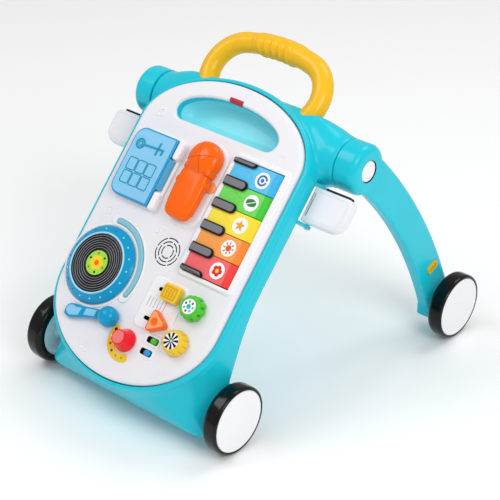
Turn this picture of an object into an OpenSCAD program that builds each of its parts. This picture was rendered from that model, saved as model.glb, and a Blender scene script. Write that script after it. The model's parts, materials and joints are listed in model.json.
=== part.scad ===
// Push-along baby walker with a reclined activity panel, two hinged rear legs and a push handle.
// +X is the right side seen from the front, the panel faces -Y, +Z is up, the floor is z = 0.

/* [Wheels] */
// Outer radius of the tyres
wheel_r = 45; // [36:1:54]
// Radius of the white hub face
hub_r = 40.5; // [30:0.5:48]
// Width of a tyre
wheel_w = 23; // [18:1:28]
// Distance from the front axle to the rear axles
wheel_base = 387; // [340:1:440]
// Outer faces of the front wheels, from the middle
front_track = 163; // [156:1:180]
// Outer faces of the rear wheels, from the middle
rear_track = 215; // [212:1:240]
// Radius of the steel axles
axle_r = 4; // [3:0.5:5]

/* [Panel] */
// Lean of the activity panel from horizontal, degrees
panel_tilt = 47; // [42:0.5:54]
// Height of the panel's own origin above the floor
panel_z = 168.4; // [160:0.5:190]
// Distance of the panel's own origin behind the front axle
panel_set_back = 11; // [0:0.5:30]
// Half width of the white panel
panel_half_w = 129; // [126:0.5:135]
// Length of the panel's straight sides above its origin
panel_top_v = 194; // [190:1:210]
// Height of the panel's domed top end
panel_top_rise = 79; // [72:1:90]
// Length of the panel's straight sides below its origin
panel_low_v = 24; // [20:1:34]
// Height of the panel's rounded bottom end
panel_low_rise = 100; // [94:1:110]
// Depth of the white panel box
panel_depth = 31; // [28:0.5:36]

/* [Frame] */
// Width of the coloured rim around the panel
rim_w = 6; // [4:0.5:9]
// Gap between the rim and the panel
rim_gap = 1; // [0.5:0.1:2]
// How far the rim sits below the panel's face
rim_drop = 3; // [2:0.5:6]
// Wall thickness of the frame
frame_wall = 3; // [2.5:0.1:4]
// Radius of the hinge barrels
barrel_r = 32.5; // [28:0.5:38]
// End of the frame's half of the hinge barrel, from the middle
barrel_split = 151; // [148:1:156]
// Height of the hinge axis above the floor
hinge_z = 305; // [295:1:320]
// Distance of the hinge axis behind the front axle
hinge_set_back = 214.7; // [205:0.1:230]

/* [Rear legs] */
// Outer face of the rear legs, from the middle
leg_x = 182; // [180:0.5:190]
// Thickness of a rear leg
leg_t = 19; // [16:0.5:24]
// Width of a rear leg seen from the side
leg_w = 45; // [38:1:52]
// Bow of the leg behind the straight line between its two axes
leg_bow = 17; // [10:1:26]

/* [Handle] */
// Radius of the handle tube
handle_r = 13.5; // [11:0.5:15]
// Radius of the grip in the middle of the handle
grip_r = 15.5; // [14:0.5:17]
// Half width of the handle, to the middle of its tube
handle_half_w = 87; // [80:1:92]
// Top of the handle along the panel's slope, to the middle of its tube
handle_top_v = 341; // [330:1:360]
// Depth of the handle's middle plane below the panel's face
handle_h = 34; // [30:0.5:38]

/* [Keys] */
// Left end of the piano keys, from the middle
key_u = 43; // [40:0.5:46]
// Length of a piano key
key_len = 72.5; // [66:0.5:76]
// Distance from key to key
key_pitch = 30.2; // [28:0.1:32]
// Lower edge of the lowest key
key_v = 35.5; // [32:0.5:38]
// Gap beside a key
key_gap = 0.7; // [0.4:0.1:1]
// Height of the key tops above the panel
key_top = 4.5; // [3:0.5:6]
// Angle that a key sinks by, degrees
key_travel = 2.5; // [1:0.1:3]

/* [Turntable] */
// Centre of the turntable across the panel
disc_u = -73.8; // [-76:0.1:-72]
// Centre of the turntable along the panel
disc_v = -2.5; // [-6:0.1:0]
// Outer radius of the coloured ring
ring_r = 51.5; // [46:0.5:53]
// Radius of the black record
record_r = 38; // [30:0.5:42]
// Height of the record above the panel
record_h = 10; // [6:0.5:14]

/* [Knobs] */
// Radius of the two turning knobs at their base
knob_r = 16; // [14:0.5:17]
// Height of the two turning knobs
knob_h = 15; // [12:0.5:18]
// Radius of the red dial at its base
dial_r = 14.5; // [12:0.5:16]
// Height of the red dial
dial_h = 20; // [16:0.5:22]

/* [Side feet] */
// Length of a side foot outwards from the frame
foot_len = 56; // [44:1:60]
// Width of a side foot along the panel's slope
foot_w = 46; // [38:1:50]
// Thickness of a side foot
foot_t = 24; // [18:1:26]
// Lower edge of a side foot along the panel's slope
foot_v = 150; // [144:1:156]

/* [Hidden] */
$fn = 64;
RUN = 0.06;        // radial clearance of a shaft that turns in a hole
EPS = 0.01;
ct = cos(panel_tilt);
st = sin(panel_tilt);
rim_a = panel_half_w + rim_gap + rim_w;
rim_low = panel_low_rise + rim_gap + rim_w;
rim_top = panel_top_rise + rim_gap + rim_w;
// The front-most point is the rim's lowest edge, the rear-most the rear wheels' treads.
reach = (panel_low_v + rim_low) * ct - rim_drop * st - panel_set_back;
front_y = -(wheel_base + wheel_r - reach) / 2;
rear_y = front_y + wheel_base;
panel_y = front_y + panel_set_back;
hinge_y = front_y + hinge_set_back;
tray_back = panel_depth + rim_drop + frame_wall;
split_gap = 0.4;
front_wheel_x = front_track - wheel_w;
rear_wheel_x = rear_track - wheel_w;
side_x = rim_a;
barrel_v = (hinge_y - panel_y) * ct + (hinge_z - panel_z) * st;
barrel_h = -(hinge_y - panel_y) * st + (hinge_z - panel_z) * ct;
head_top_v = 279;
head_half_w = 115;
skirt_z = 20;
skirt_top_z = 100;
skirt_front_y = front_y - 33;
skirt_rear_y = front_y + 28;
axle_boss_r = 12;
bore_r = axle_r + RUN;
// Handle arcs: two corner arcs and one flat arc that meet smoothly.
corner_r = 45;
corner_u = handle_half_w - corner_r;
corner_drop = 5;
corner_v = handle_top_v - corner_r - corner_drop;
flat_r = (corner_u * corner_u + (corner_r + corner_drop) * (corner_r + corner_drop)
    - corner_r * corner_r) / (2 * corner_drop);
flat_v = handle_top_v - flat_r;
join_a = atan2(corner_v - flat_v, corner_u);
end_a = -20;
socket_depth = 12;
grip_half = 34;
// Leg arc: a circle through both axes with the given bow.
leg_dy = rear_y - hinge_y;
leg_dz = hinge_z - wheel_r;
leg_chord = sqrt(leg_dy * leg_dy + leg_dz * leg_dz);
leg_r = (leg_chord * leg_chord / 4 + leg_bow * leg_bow) / (2 * leg_bow);
leg_cy = (hinge_y + rear_y) / 2 - (leg_r - leg_bow) * leg_dz / leg_chord;
leg_cz = (hinge_z + wheel_r) / 2 - (leg_r - leg_bow) * leg_dy / leg_chord;
leg_a0 = atan2(wheel_r - leg_cz, rear_y - leg_cy);
leg_a1 = atan2(hinge_z - leg_cz, hinge_y - leg_cy);
leg_in_x = leg_x - leg_t;
hub_cap_r = 13.6;
hub_cap_t = 3;
hub_travel = 4;
hub_cap_well = hub_cap_t + hub_travel + 3;
pin_r = 7;
lock_a = leg_a0 + 5;
lock_y = leg_cy + (leg_r + 4) * cos(lock_a);
lock_z = leg_cz + (leg_r + 4) * sin(lock_a);
lock_len = 24;
lock_w = 12;
lock_depth = 8;
lock_proud = 1.5;
// Piano
key_top_v = key_v + 5 * key_pitch;
key_thick = 15;
key_axis_u = key_u + 6;
key_axis_h = -6;
key_pin_r = 2;
key_stop_h = key_top - key_thick - (key_len - 12) * sin(key_travel) - 0.4;
sharp_len = 33;
sharp_w = 13;
sharp_h0 = key_top + 0.8;
sharp_t = 3.5;
rail_w = 7;
// Turntable
spindle_r = 4;
record_t = 3;
label_r = 16.4;
label_t = 1;
ring_lift = 0.6;
light_r0 = 56.5;
light_r1 = 63.5;
light_a0 = -22;
light_a1 = 97;
light_h = 3.5;
// Flap
flap_u0 = -112;
flap_u1 = -45.5;
flap_v0 = 86;
flap_v1 = 178.5;
flap_base_t = 4;
flap_t = 6;
flap_lift = 0.6;
flap_axis_u = flap_u0 + 3.5;
flap_axis_h = flap_base_t + flap_lift + 3;
flap_pin_r = 1.5;
// Microphone
mic_u = 4;
mic_w = 44;
mic_v0 = 86;
mic_v1 = 150;
mic_head_u = 7;
mic_head_v = 167;
mic_head_r = 24;
mic_body_top = 20;
mic_base_t = 3;
mic_gap = 0.8;
mic_axis_v = mic_v0 + 10;
mic_axis_h = 11;
mic_pin_r = 2;
// Controls: places on the panel
square_p = [48.5, 2.6];
triangle_p = [47, -36.4];
slide_travel = 22;
slot_w = 5;
slider_stem_w = 4.2;
slider_base = 2;
slider_h = 12;
square_w = 26;
square_l = 22;
triangle_r = 15;
green_p = [85, -2.5];
yellow_p = [84.5, -48.3];
dial_p = [14.5, -72.3];
shaft_r = 3;
green_sw = [50, -58];
blue_sw = [48.5, -74];
switch_w = 18;
switch_l = 8;
switch_travel = 6;
lever_p = [-20.5, -56];
lever_ball_r = 13.3;
speaker_p = [9, 47];
speaker_r = 18.6;
speaker_hole_r = speaker_r - 2;
grille_lip_t = 1;
tag_p = [0, 252];
opening_v = 206;
opening_rise = 43;
opening_a = 82;
opening_r = 14;
foot_axis_u = side_x + 4;
foot_h0 = 34;
foot_axis_h = -(foot_h0 + foot_t - 5);
foot_pin_r = 3;
foot_gap = 0.8;
pad_t = 3;
// AA cells and their well
cell_r = 7.1;
cell_l = 50.5;
well_l = 64;
well_w = 52;
screw_r = 1.5;
screw_head_r = 3.5;
screw_head_t = 1.5;
screw_len = tray_back + screw_head_t - panel_depth + frame_wall - 0.5;
screw_places = [[110, 180], [-110, 180], [112, 60], [-112, 60], [96, -60], [-96, -60]];

// ---------- shared shapes ----------
function ellipse_arc(a, b, v, a0, a1, n) =
    [for (i = [0 : n]) let (t = a0 + (a1 - a0) * i / n) [a * cos(t), v + b * sin(t)]];

// Panel outline: straight sides with an elliptic dome above and below, shrunk by inset.
module panel_outline(inset) {
    a = panel_half_w - inset;
    top = ellipse_arc(a, panel_top_rise - inset, panel_top_v, 0, 180, 36);
    low = ellipse_arc(a, panel_low_rise - inset, -panel_low_v, 180, 360, 36);
    polygon(concat(top, low));
}

// Carry opening: flat lower edge, domed upper edge, rounded corners, grown by extra.
module opening_outline(extra) {
    a = opening_a + extra;
    r = opening_r + extra;
    y0 = opening_v + opening_r;
    dome = ellipse_arc(a, opening_rise - opening_r + extra, y0, 0, 180, 30);
    left = [for (i = [0 : 6]) let (t = 180 + 15 * i) [-a + r + r * cos(t), y0 + r * sin(t)]];
    right = [for (i = [0 : 6]) let (t = 270 + 15 * i) [a - r + r * cos(t), y0 + r * sin(t)]];
    polygon(concat(dome, left, right));
}

module rounded_box(x0, y0, x1, y1, r) {
    c = [[x1 - r, y1 - r, 0], [x0 + r, y1 - r, 90], [x0 + r, y0 + r, 180], [x1 - r, y0 + r, 270]];
    polygon([for (k = c, i = [0 : 5]) [k[0] + r * cos(k[2] + 18 * i), k[1] + r * sin(k[2] + 18 * i)]]);
}

module slab(h0, h1) { translate([0, 0, h0]) linear_extrude(h1 - h0) children(); }

// Places children in the panel's own frame: x across, y up the slope, z out of the panel.
module on_panel() { translate([0, panel_y, panel_z]) rotate([panel_tilt, 0, 0]) children(); }

module rod_x(x0, x1, r) { translate([x0, 0, 0]) rotate([0, 90, 0]) cylinder(h = x1 - x0, r = r); }
module at_yz(y, z) { translate([0, y, z]) children(); }
module rod_y(y0, y1, r) { translate([0, y0, 0]) rotate([-90, 0, 0]) cylinder(h = y1 - y0, r = r); }
module both_sides() { children(); mirror([1, 0, 0]) children(); }

// ---------- frame ----------
module tray_solid(inset, h0, h1) { slab(h0, h1) panel_outline(inset - rim_gap - rim_w); }

// Broad head across the top that carries both hinge barrels and the handle sockets.
module head_solid() {
    at_yz(barrel_v, barrel_h) rod_x(-barrel_split, barrel_split, barrel_r);
    slab(-handle_h - handle_r - 4, -handle_h + handle_r)
        rounded_box(-head_half_w, 215, head_half_w, head_top_v, 10);
}

// A side view section, given as [y, z] points, drawn out across the whole width.
module across(half_w) {
    translate([-half_w, 0, 0]) rotate([90, 0, 90]) linear_extrude(2 * half_w) children();
}

// Skirt from the panel's rounded lower end down to the front wheels.
module skirt_solid(d) {
    low = skirt_z - (d > 0 ? 9 : 0);
    rear = skirt_rear_y - d;
    intersection() {
        on_panel() slab(-180, -rim_drop - 1) panel_outline(d - rim_gap - rim_w);
        across(side_x - d) polygon([[front_y - 130, low], [rear, low], [rear, skirt_top_z - d],
            [front_y - 130, skirt_top_z + 60]]);
    }
    across(side_x - d) polygon([[skirt_front_y + d, low], [rear, low], [rear, skirt_top_z - d],
        [skirt_front_y + 34, skirt_top_z - d], [skirt_front_y + 4 + d, wheel_r + 10]]);
}

module frame_cavity() {
    on_panel() tray_solid(rim_w, -tray_back + frame_wall, 5);
    intersection() {
        skirt_solid(frame_wall);
        on_panel() slab(-300, -tray_back) square([600, 900], center = true);
    }
}

// Straight run of each handle end inside its socket.
module handle_ends(r) {
    both_sides() translate([corner_u + corner_r * cos(end_a), corner_v + corner_r * sin(end_a), -handle_h])
        rotate([90, 0, end_a]) cylinder(h = socket_depth, r = r);
}

module front_frame() color("mediumturquoise") {
    difference() {
        union() {
            on_panel() tray_solid(0, -tray_back, -rim_drop);
            on_panel() head_solid();
            skirt_solid(0);
            at_yz(front_y, wheel_r) rod_x(-front_wheel_x + 0.6, front_wheel_x - 0.6, axle_boss_r);
            on_panel() foot_brackets();
        }
        frame_cavity();
        both_sides() at_yz(hinge_y, hinge_z)
            rod_x(head_half_w + 1, barrel_split - frame_wall, barrel_r - frame_wall);
        on_panel() handle_ends(handle_r + 0.02);
        on_panel() foot_pin_holes();
        at_yz(front_y, wheel_r) rod_x(-200, 200, axle_r);
        at_yz(hinge_y, hinge_z) rod_x(-200, 200, pin_r);
        on_panel() battery_well();
        on_panel() for (p = screw_places) slab(-tray_back - 1, -rim_drop) translate(p) circle(screw_r);
    }
    both_sides() difference() {
        at_yz(hinge_y, hinge_z) rod_x(head_half_w, barrel_split - frame_wall + EPS, pin_r + 4);
        at_yz(hinge_y, hinge_z) rod_x(0, 200, pin_r);
    }
}

// Two lugs a side hold each side foot's hinge pin.
module foot_brackets() {
    both_sides() for (v = [foot_v - 7, foot_v + foot_w + foot_gap])
        slab(-tray_back - 23, -tray_back + 4) translate([side_x - 12, v])
            square([12 + 4 + foot_pin_r + 2, 6]);
}
module foot_pin_holes() {
    both_sides() translate([foot_axis_u, 0, foot_axis_h])
        rod_y(foot_v - 6.5, foot_v + foot_w + 7, foot_pin_r + RUN);
}

module battery_well() {
    slab(-tray_back - 1, -tray_back + frame_wall + 1) square([well_l, well_w], center = true);
}

// ---------- handle ----------
// Middle line of the handle as [u, v, direction angle], from its right end round to its left end
function arc_steps(cu, cv, r, a0, a1, n) =
    [for (i = [0 : n]) let (t = a0 + (a1 - a0) * i / n) [cu + r * cos(t), cv + r * sin(t), t + 90]];
handle_right = arc_steps(corner_u, corner_v, corner_r, end_a, join_a, 12);
handle_flat = arc_steps(0, flat_v, flat_r, join_a, 180 - join_a, 18);
handle_left = arc_steps(-corner_u, corner_v, corner_r, 180 - join_a, 180 - end_a, 12);
handle_stub = [corner_u + corner_r * cos(end_a), corner_v + corner_r * sin(end_a)];
stub_du = socket_depth * sin(end_a);
stub_dv = -socket_depth * cos(end_a);
handle_path = concat(
    [[handle_stub[0] + stub_du, handle_stub[1] + stub_dv, end_a + 90]],
    handle_right,
    [for (i = [1 : len(handle_flat) - 2]) handle_flat[i]],
    handle_left,
    [[-handle_stub[0] - stub_du, handle_stub[1] + stub_dv, 270 - end_a]]);
// The tube swells into the grip over the middle of the flat arc.
function tube_r(u) = handle_r + (grip_r - handle_r) * max(0, min(1, (grip_half + 6 - abs(u)) / 6));

module push_handle() color("gold") on_panel() {
    sides = 24;
    n = len(handle_path);
    points = [for (p = handle_path, k = [0 : sides - 1])
        let (a = 360 * k / sides, r = p[1] > corner_v ? tube_r(p[0]) : handle_r)
        [p[0] + r * cos(a) * sin(p[2]), p[1] - r * cos(a) * cos(p[2]), -handle_h + r * sin(a)]];
    quads = [for (i = [0 : n - 2], k = [0 : sides - 1]) let (j = (k + 1) % sides)
        [i * sides + k, i * sides + j, (i + 1) * sides + j, (i + 1) * sides + k]];
    first = [for (k = [0 : sides - 1]) sides - 1 - k];
    last = [for (k = [0 : sides - 1]) (n - 1) * sides + k];
    polyhedron(points = points, faces = concat([first], quads, [last]), convexity = 6);
}

// ---------- panel ----------
module key_window() {
    translate([key_u - 0.8, key_v - 1]) square([key_len + 1.6, 5 * key_pitch + 2]);
}

module slot_cut(p, l, w) {
    translate([p[0] - slide_travel - l / 2, p[1] - w / 2]) square([slide_travel + l, w]);
}

module switch_cut(p) {
    translate([p[0] - switch_w / 2, p[1] - switch_l / 2]) square([switch_w, switch_l]);
}

module panel_shell() color("white") on_panel() {
    difference() {
        slab(-panel_depth + frame_wall, 0) panel_outline(0);
        difference() {
            slab(-panel_depth, -frame_wall) panel_outline(frame_wall);
            slab(-panel_depth, 0) opening_outline(frame_wall);
        }
        slab(-panel_depth, 5) opening_outline(0);
        slab(-20, 5) key_window();
        slab(-20, 5) slot_cut(square_p, slot_w, slot_w);
        slab(-20, 5) slot_cut(triangle_p, slot_w, slot_w);
        slab(-20, 5) switch_cut(green_sw);
        slab(-20, 5) switch_cut(blue_sw);
        translate([speaker_p[0], speaker_p[1], -20]) cylinder(h = 30, r = speaker_hole_r);
        translate([disc_u, disc_v, -20]) cylinder(h = 30, r = spindle_r + RUN);
        for (p = [green_p, yellow_p, dial_p, lever_p])
            translate([p[0], p[1], -20]) cylinder(h = 30, r = shaft_r + RUN);
    }
    // Crescent that carries the light window beside the turntable
    translate([disc_u, disc_v, 0]) rotate([0, 0, light_a0 - 5])
        rotate_extrude(angle = light_a1 - light_a0 + 10)
            translate([light_r0 - 3, -0.5]) square([light_r1 - light_r0 + 6, 1.5]);
    // Ribs that hold the piano hinge rod
    for (v = [key_v - 7, key_top_v + 2]) difference() {
        slab(-14, -frame_wall + EPS) translate([key_axis_u - 6, v]) square([12, 5]);
        translate([key_axis_u, 0, key_axis_h]) rod_y(v - 1, v + 6, key_pin_r);
    }
}

module panel_back() color("whitesmoke") on_panel()
    difference() {
        union() {
            slab(-panel_depth, -panel_depth + frame_wall) panel_outline(0);
            for (p = screw_places) slab(-panel_depth - rim_drop, -panel_depth) translate(p) circle(5);
        }
        slab(-50, 5) opening_outline(0);
        slab(-50, 5) square([well_l - 4, well_w - 4], center = true);
        for (p = screw_places) slab(-tray_back, -panel_depth + frame_wall + 1) translate(p) circle(screw_r);
    }

module battery_door() color("mediumturquoise") on_panel()
    slab(-tray_back, -tray_back + frame_wall - 0.5) square([well_l - 1, well_w - 1], center = true);

module batteries() color("dimgray") on_panel()
    for (v = [-15, 0, 15]) translate([-cell_l / 2, v, -panel_depth + cell_r + 1]) rotate([0, 90, 0]) {
        cylinder(h = cell_l - 1, r = cell_r);
        cylinder(h = cell_l, r = 2.7);
    }

module circuit_board() color("seagreen") on_panel() {
    slab(-16, -14.4) translate([-50, 78]) square([76, 56]);
    for (p = [[-40, 90], [-12, 88], [-30, 112], [0, 118]])
        slab(-14.4, -11.4) translate(p) square([14, 9]);
    for (p = [[-46, 82], [22, 82], [-46, 130], [22, 130]])
        slab(-panel_depth + frame_wall, -16) translate(p) circle(2.5);
}

module speaker_driver() color("dimgray") on_panel() translate([speaker_p[0], speaker_p[1], 0]) {
    translate([0, 0, -9]) cylinder(h = 6, r = speaker_r + 1);
    translate([0, 0, -16]) cylinder(h = 7, r = speaker_r - 6);
    translate([0, 0, -22]) cylinder(h = 6, r = speaker_r - 8);
}

module speaker_grille() color("lightgray") on_panel() translate([speaker_p[0], speaker_p[1], 0]) {
    difference() {
        translate([0, 0, -frame_wall]) cylinder(h = frame_wall + grille_lip_t / 2, r = speaker_hole_r);
        for (r = [5, 9, 13], k = [0 : 2])
            rotate([0, 0, 120 * k + 4 * r]) translate([0, 0, -5]) rotate_extrude(angle = 96)
                translate([r, 0]) square([1.8, 10]);
    }
    rotate_extrude() translate([speaker_r - 3, 0]) square([3, grille_lip_t]);
}

// ---------- piano ----------
module key_sharps() color("gray") on_panel() {
    slab(0, sharp_h0 + sharp_t) translate([key_u - rail_w - 0.8, key_v - 3])
        square([rail_w, 5 * key_pitch + 6]);
    for (i = [0 : 5]) {
        end = i == 0 || i == 5;
        w = end ? sharp_w / 2 : sharp_w;
        v = i == 0 ? key_v : key_v + i * key_pitch - sharp_w / 2;
        slab(sharp_h0, sharp_h0 + sharp_t) translate([key_u - 2, v]) square([sharp_len + 2, w]);
    }
}

// One piano key, i-th from the bottom.
module piano_key(i) on_panel() difference() {
    slab(key_top - key_thick, key_top)
        translate([key_u, key_v + i * key_pitch + key_gap / 2]) square([key_len, key_pitch - key_gap]);
    translate([key_axis_u, 0, key_axis_h]) rod_y(0, 400, key_pin_r + RUN);
    slab(key_top - key_thick - 1, key_top - 3)
        translate([key_axis_u + 6, key_v + i * key_pitch + key_gap / 2 + 2])
            square([key_len - 14, key_pitch - key_gap - 4]);
}

module key_red() color("tomato") piano_key(0);
module key_orange() color("orange") piano_key(1);
module key_yellow() color("khaki") piano_key(2);
module key_green() color("lightgreen") piano_key(3);
module key_blue() color("skyblue") piano_key(4);

// Felt strip that stops the keys
module key_rest() color("dimgray") on_panel()
    slab(-panel_depth + frame_wall, key_stop_h) translate([key_u + key_len - 14, key_v + 2])
        square([8, 5 * key_pitch - 4]);

// ---------- turntable ----------
module at_disc() { on_panel() translate([disc_u, disc_v, 0]) children(); }

module turntable_ring() color("deepskyblue") at_disc() rotate_extrude()
    polygon([[spindle_r, record_h - record_t - 2.5], [record_r - 3, record_h - record_t - 2.5],
        [ring_r - 4, ring_lift], [ring_r, ring_lift], [ring_r, ring_lift + 2],
        [record_r + 1.5, record_h], [record_r + 0.02, record_h],
        [record_r + 0.02, record_h - record_t], [spindle_r, record_h - record_t]]);

module record_disc() color("black") at_disc() rotate_extrude()
    translate([spindle_r, record_h - record_t]) square([record_r - spindle_r, record_t + 0.6]);

module record_label() color("yellowgreen") at_disc()
    translate([0, 0, record_h + 0.6]) cylinder(h = label_t, r = label_r);

module turntable_spindle() color("silver") at_disc() {
    translate([0, 0, -16]) cylinder(h = 16 + record_h + 0.6, r = spindle_r);
    translate([0, 0, -16]) cylinder(h = 3, r = 12);
}

module light_window() color("paleturquoise") at_disc() rotate([0, 0, light_a0])
    rotate_extrude(angle = light_a1 - light_a0)
        translate([light_r0, 1]) square([light_r1 - light_r0, light_h - 1]);

// Lever whose ball end is its pivot
module tonearm() color("dodgerblue") on_panel() translate([lever_p[0], lever_p[1], 0]) {
    translate([0, 0, -10]) cylinder(h = 12, r = shaft_r);
    translate([0, 0, -10]) cylinder(h = 3, r = 7);
    intersection() {
        translate([0, 0, 8]) sphere(lever_ball_r);
        translate([0, 0, 0.6 + 20]) cube(40, center = true);
    }
    slab(2, 10) translate([-44, -10]) square([36, 11]);
    slab(2, 9) rounded_box(-68, -20, -38, -1, 6);
}

// ---------- flap ----------
module flap_base() color("white") on_panel() {
    slab(0, flap_base_t) rounded_box(flap_u0 - 2, flap_v0 - 2, flap_u1 + 5, flap_v1 + 2, 8);
    for (v = [flap_v0 + 12, flap_v1 - 20]) difference() {
        slab(flap_base_t - EPS, flap_axis_h + 3) translate([flap_axis_u - 3.5, v]) square([7, 8]);
        translate([flap_axis_u, 0, flap_axis_h]) rod_y(v - 1, v + 9, flap_pin_r);
    }
}

module flap_door() color("deepskyblue") on_panel() difference() {
    union() {
        slab(flap_base_t + flap_lift, flap_base_t + flap_lift + flap_t)
            rounded_box(flap_axis_u + 5.2, flap_v0, flap_u1, flap_v1, 8);
        translate([flap_axis_u, 0, flap_axis_h]) rod_y(flap_v0 + 21, flap_v1 - 21, 3);
        slab(flap_axis_h - 3, flap_axis_h + 3)
            translate([flap_axis_u, flap_v0 + 21]) square([8, flap_v1 - flap_v0 - 42]);
    }
    translate([flap_axis_u, 0, flap_axis_h]) rod_y(0, 300, flap_pin_r + RUN);
    slab(flap_base_t + flap_lift - 1, flap_base_t + flap_lift + flap_t - 2)
        rounded_box(flap_axis_u + 14, flap_v0 + 6, flap_u1 - 4, flap_v1 - 6, 6);
}

// ---------- microphone lever ----------
module mic_cradle() color("white") on_panel() {
    slab(0, mic_base_t) rounded_box(mic_u - mic_w / 2 - 4, mic_v0 - 4, mic_u + mic_w / 2 + 6,
        mic_head_v + mic_head_r - 1, 12);
    for (s = [-1, 1]) difference() {
        slab(mic_base_t - EPS, mic_axis_h + 4)
            translate([mic_u + s * (mic_w / 2 + 2.2) - 1.6, mic_axis_v - 5]) square([3.2, 10]);
        translate([mic_u - 50, mic_axis_v, mic_axis_h]) rod_x(0, 100, mic_pin_r);
    }
}

// Steel rods that the keys, the flap and the microphone lever turn on
module hinge_rods() color("silver") on_panel() {
    translate([key_axis_u, 0, key_axis_h]) rod_y(key_v - 7, key_top_v + 7, key_pin_r);
    translate([flap_axis_u, 0, flap_axis_h]) rod_y(flap_v0 + 12, flap_v1 - 12, flap_pin_r);
    translate([mic_u, mic_axis_v, mic_axis_h]) rod_x(-mic_w / 2 - 3.8, mic_w / 2 + 3.8, mic_pin_r);
}

module mic_rocker() color("darkorange") on_panel() difference() {
    union() {
        slab(mic_base_t + mic_gap, mic_body_top)
            rounded_box(mic_u - mic_w / 2, mic_v0 + 1, mic_u + mic_w / 2, mic_v1, 6);
        intersection() {
            translate([mic_head_u, mic_head_v, mic_base_t + mic_gap]) sphere(mic_head_r);
            slab(mic_base_t + mic_gap, 60) square([400, 500], center = true);
        }
    }
    translate([mic_u - 50, mic_axis_v, mic_axis_h]) rod_x(0, 100, mic_pin_r + RUN);
    // Room for the lower end to turn in
    slab(0, mic_axis_h - 4.5) translate([-100, mic_v0 - 5]) square([200, 13]);
}

// ---------- sliders and knobs ----------
module slider_plate() color("white") on_panel() difference() {
    slab(0, slider_base - 0.5) rounded_box(10, -50, 66, 17, 6);
    slab(-1, 5) slot_cut(square_p, slot_w, slot_w);
    slab(-1, 5) slot_cut(triangle_p, slot_w, slot_w);
}

module slider_stem(p) {
    translate([p[0], p[1], 0]) {
        slab(-8, slider_base + 1) square(slider_stem_w, center = true);
        slab(-8, -5) square([12, 12], center = true);
    }
}

module slider_square() color("gold") on_panel() {
    slider_stem(square_p);
    slab(slider_base, slider_h) rounded_box(square_p[0] - square_w / 2, square_p[1] - square_l / 2,
        square_p[0] + square_w / 2, square_p[1] + square_l / 2, 4);
}

module slider_triangle() color("darkorange") on_panel() {
    slider_stem(triangle_p);
    slab(slider_base, slider_h) translate(triangle_p)
        polygon([for (k = [0 : 2], i = [0 : 4]) let (c = 120 * k, a = c - 60 + 30 * i)
            [(triangle_r - 4) * cos(c) + 4 * cos(a), (triangle_r - 4) * sin(c) + 4 * sin(a)]]);
}

module round_knob(p, r0, r1, h) {
    translate([p[0], p[1], 0]) {
        translate([0, 0, 0.6]) cylinder(h = h - 3.6, r1 = r0, r2 = r1 + 1);
        translate([0, 0, h - 3]) cylinder(h = 3, r = r1);
        translate([0, 0, -10]) cylinder(h = 11, r = shaft_r);
        translate([0, 0, -10]) cylinder(h = 3, r = 6);
    }
}

module knob_green() color("limegreen") on_panel() round_knob(green_p, knob_r, knob_r - 3, knob_h);
module knob_yellow() color("goldenrod") on_panel() round_knob(yellow_p, knob_r, knob_r - 3, knob_h);
module dial_red() color("red") on_panel() round_knob(dial_p, dial_r, dial_r - 5, dial_h);

// Printed crescent beside the dial
module dial_plate() color("gold") on_panel() translate([dial_p[0], dial_p[1], 0])
    rotate([0, 0, 163]) rotate_extrude(angle = 132) translate([dial_r + 2.5, 0]) square([9.5, 1.5]);

module slide_switch(p) on_panel() translate([p[0] + switch_travel / 2, p[1], 0]) {
    slab(-6, 3.5) square([9, switch_l - 1], center = true);
    slab(-9, -6) square([20, switch_l + 4], center = true);
}
module switch_green() color("green") slide_switch(green_sw);
module switch_blue() color("dodgerblue") slide_switch(blue_sw);

module red_tag() color("firebrick") on_panel()
    slab(0, 0.8) translate([tag_p[0] - 9, tag_p[1]]) square([18, 9]);

// ---------- side feet ----------
module foot_shell() {
    u1 = foot_axis_u + foot_len;
    difference() {
        union() {
            slab(-foot_h0 - foot_t, -foot_h0) translate([side_x + 1, foot_v]) rounded_box(0, 0,
                u1 - side_x - 1, foot_w, 6);
            translate([foot_axis_u, 0, foot_axis_h]) rod_y(foot_v, foot_v + foot_w, 6);
        }
        slab(-foot_h0 - 2, 0) rounded_box(side_x + 10, foot_v + 5, u1 - 5, foot_v + foot_w - 5, 5);
        slab(-foot_h0 - foot_t - 1, -foot_h0 - 5)
            rounded_box(side_x + 14, foot_v + 4, u1 - 4, foot_v + foot_w - 4, 5);
    }
    translate([foot_axis_u, 0, foot_axis_h]) rod_y(foot_v - 6, foot_v + foot_w + 6, foot_pin_r);
}

module foot_pad() {
    slab(-foot_h0 - foot_t + 6, -foot_h0 - 6)
        translate([side_x + 14, foot_v + foot_w]) square([foot_len - 20, pad_t]);
}

module foot_right() color("white") on_panel() foot_shell();
module foot_left() color("white") mirror([1, 0, 0]) on_panel() foot_shell();
module foot_pad_right() color("black") on_panel() foot_pad();
module foot_pad_left() color("black") mirror([1, 0, 0]) on_panel() foot_pad();

// ---------- rear legs ----------
function leg_arc(r, a0, a1, n) =
    [for (i = [0 : n]) let (a = a0 + (a1 - a0) * i / n) [leg_cy + r * cos(a), leg_cz + r * sin(a)]];

module leg_side() {
    polygon(concat(leg_arc(leg_r + leg_w / 2, leg_a0 + 1, leg_a1, 24),
        leg_arc(leg_r - leg_w / 2, leg_a1, leg_a0 + 1, 24)));
}

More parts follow.
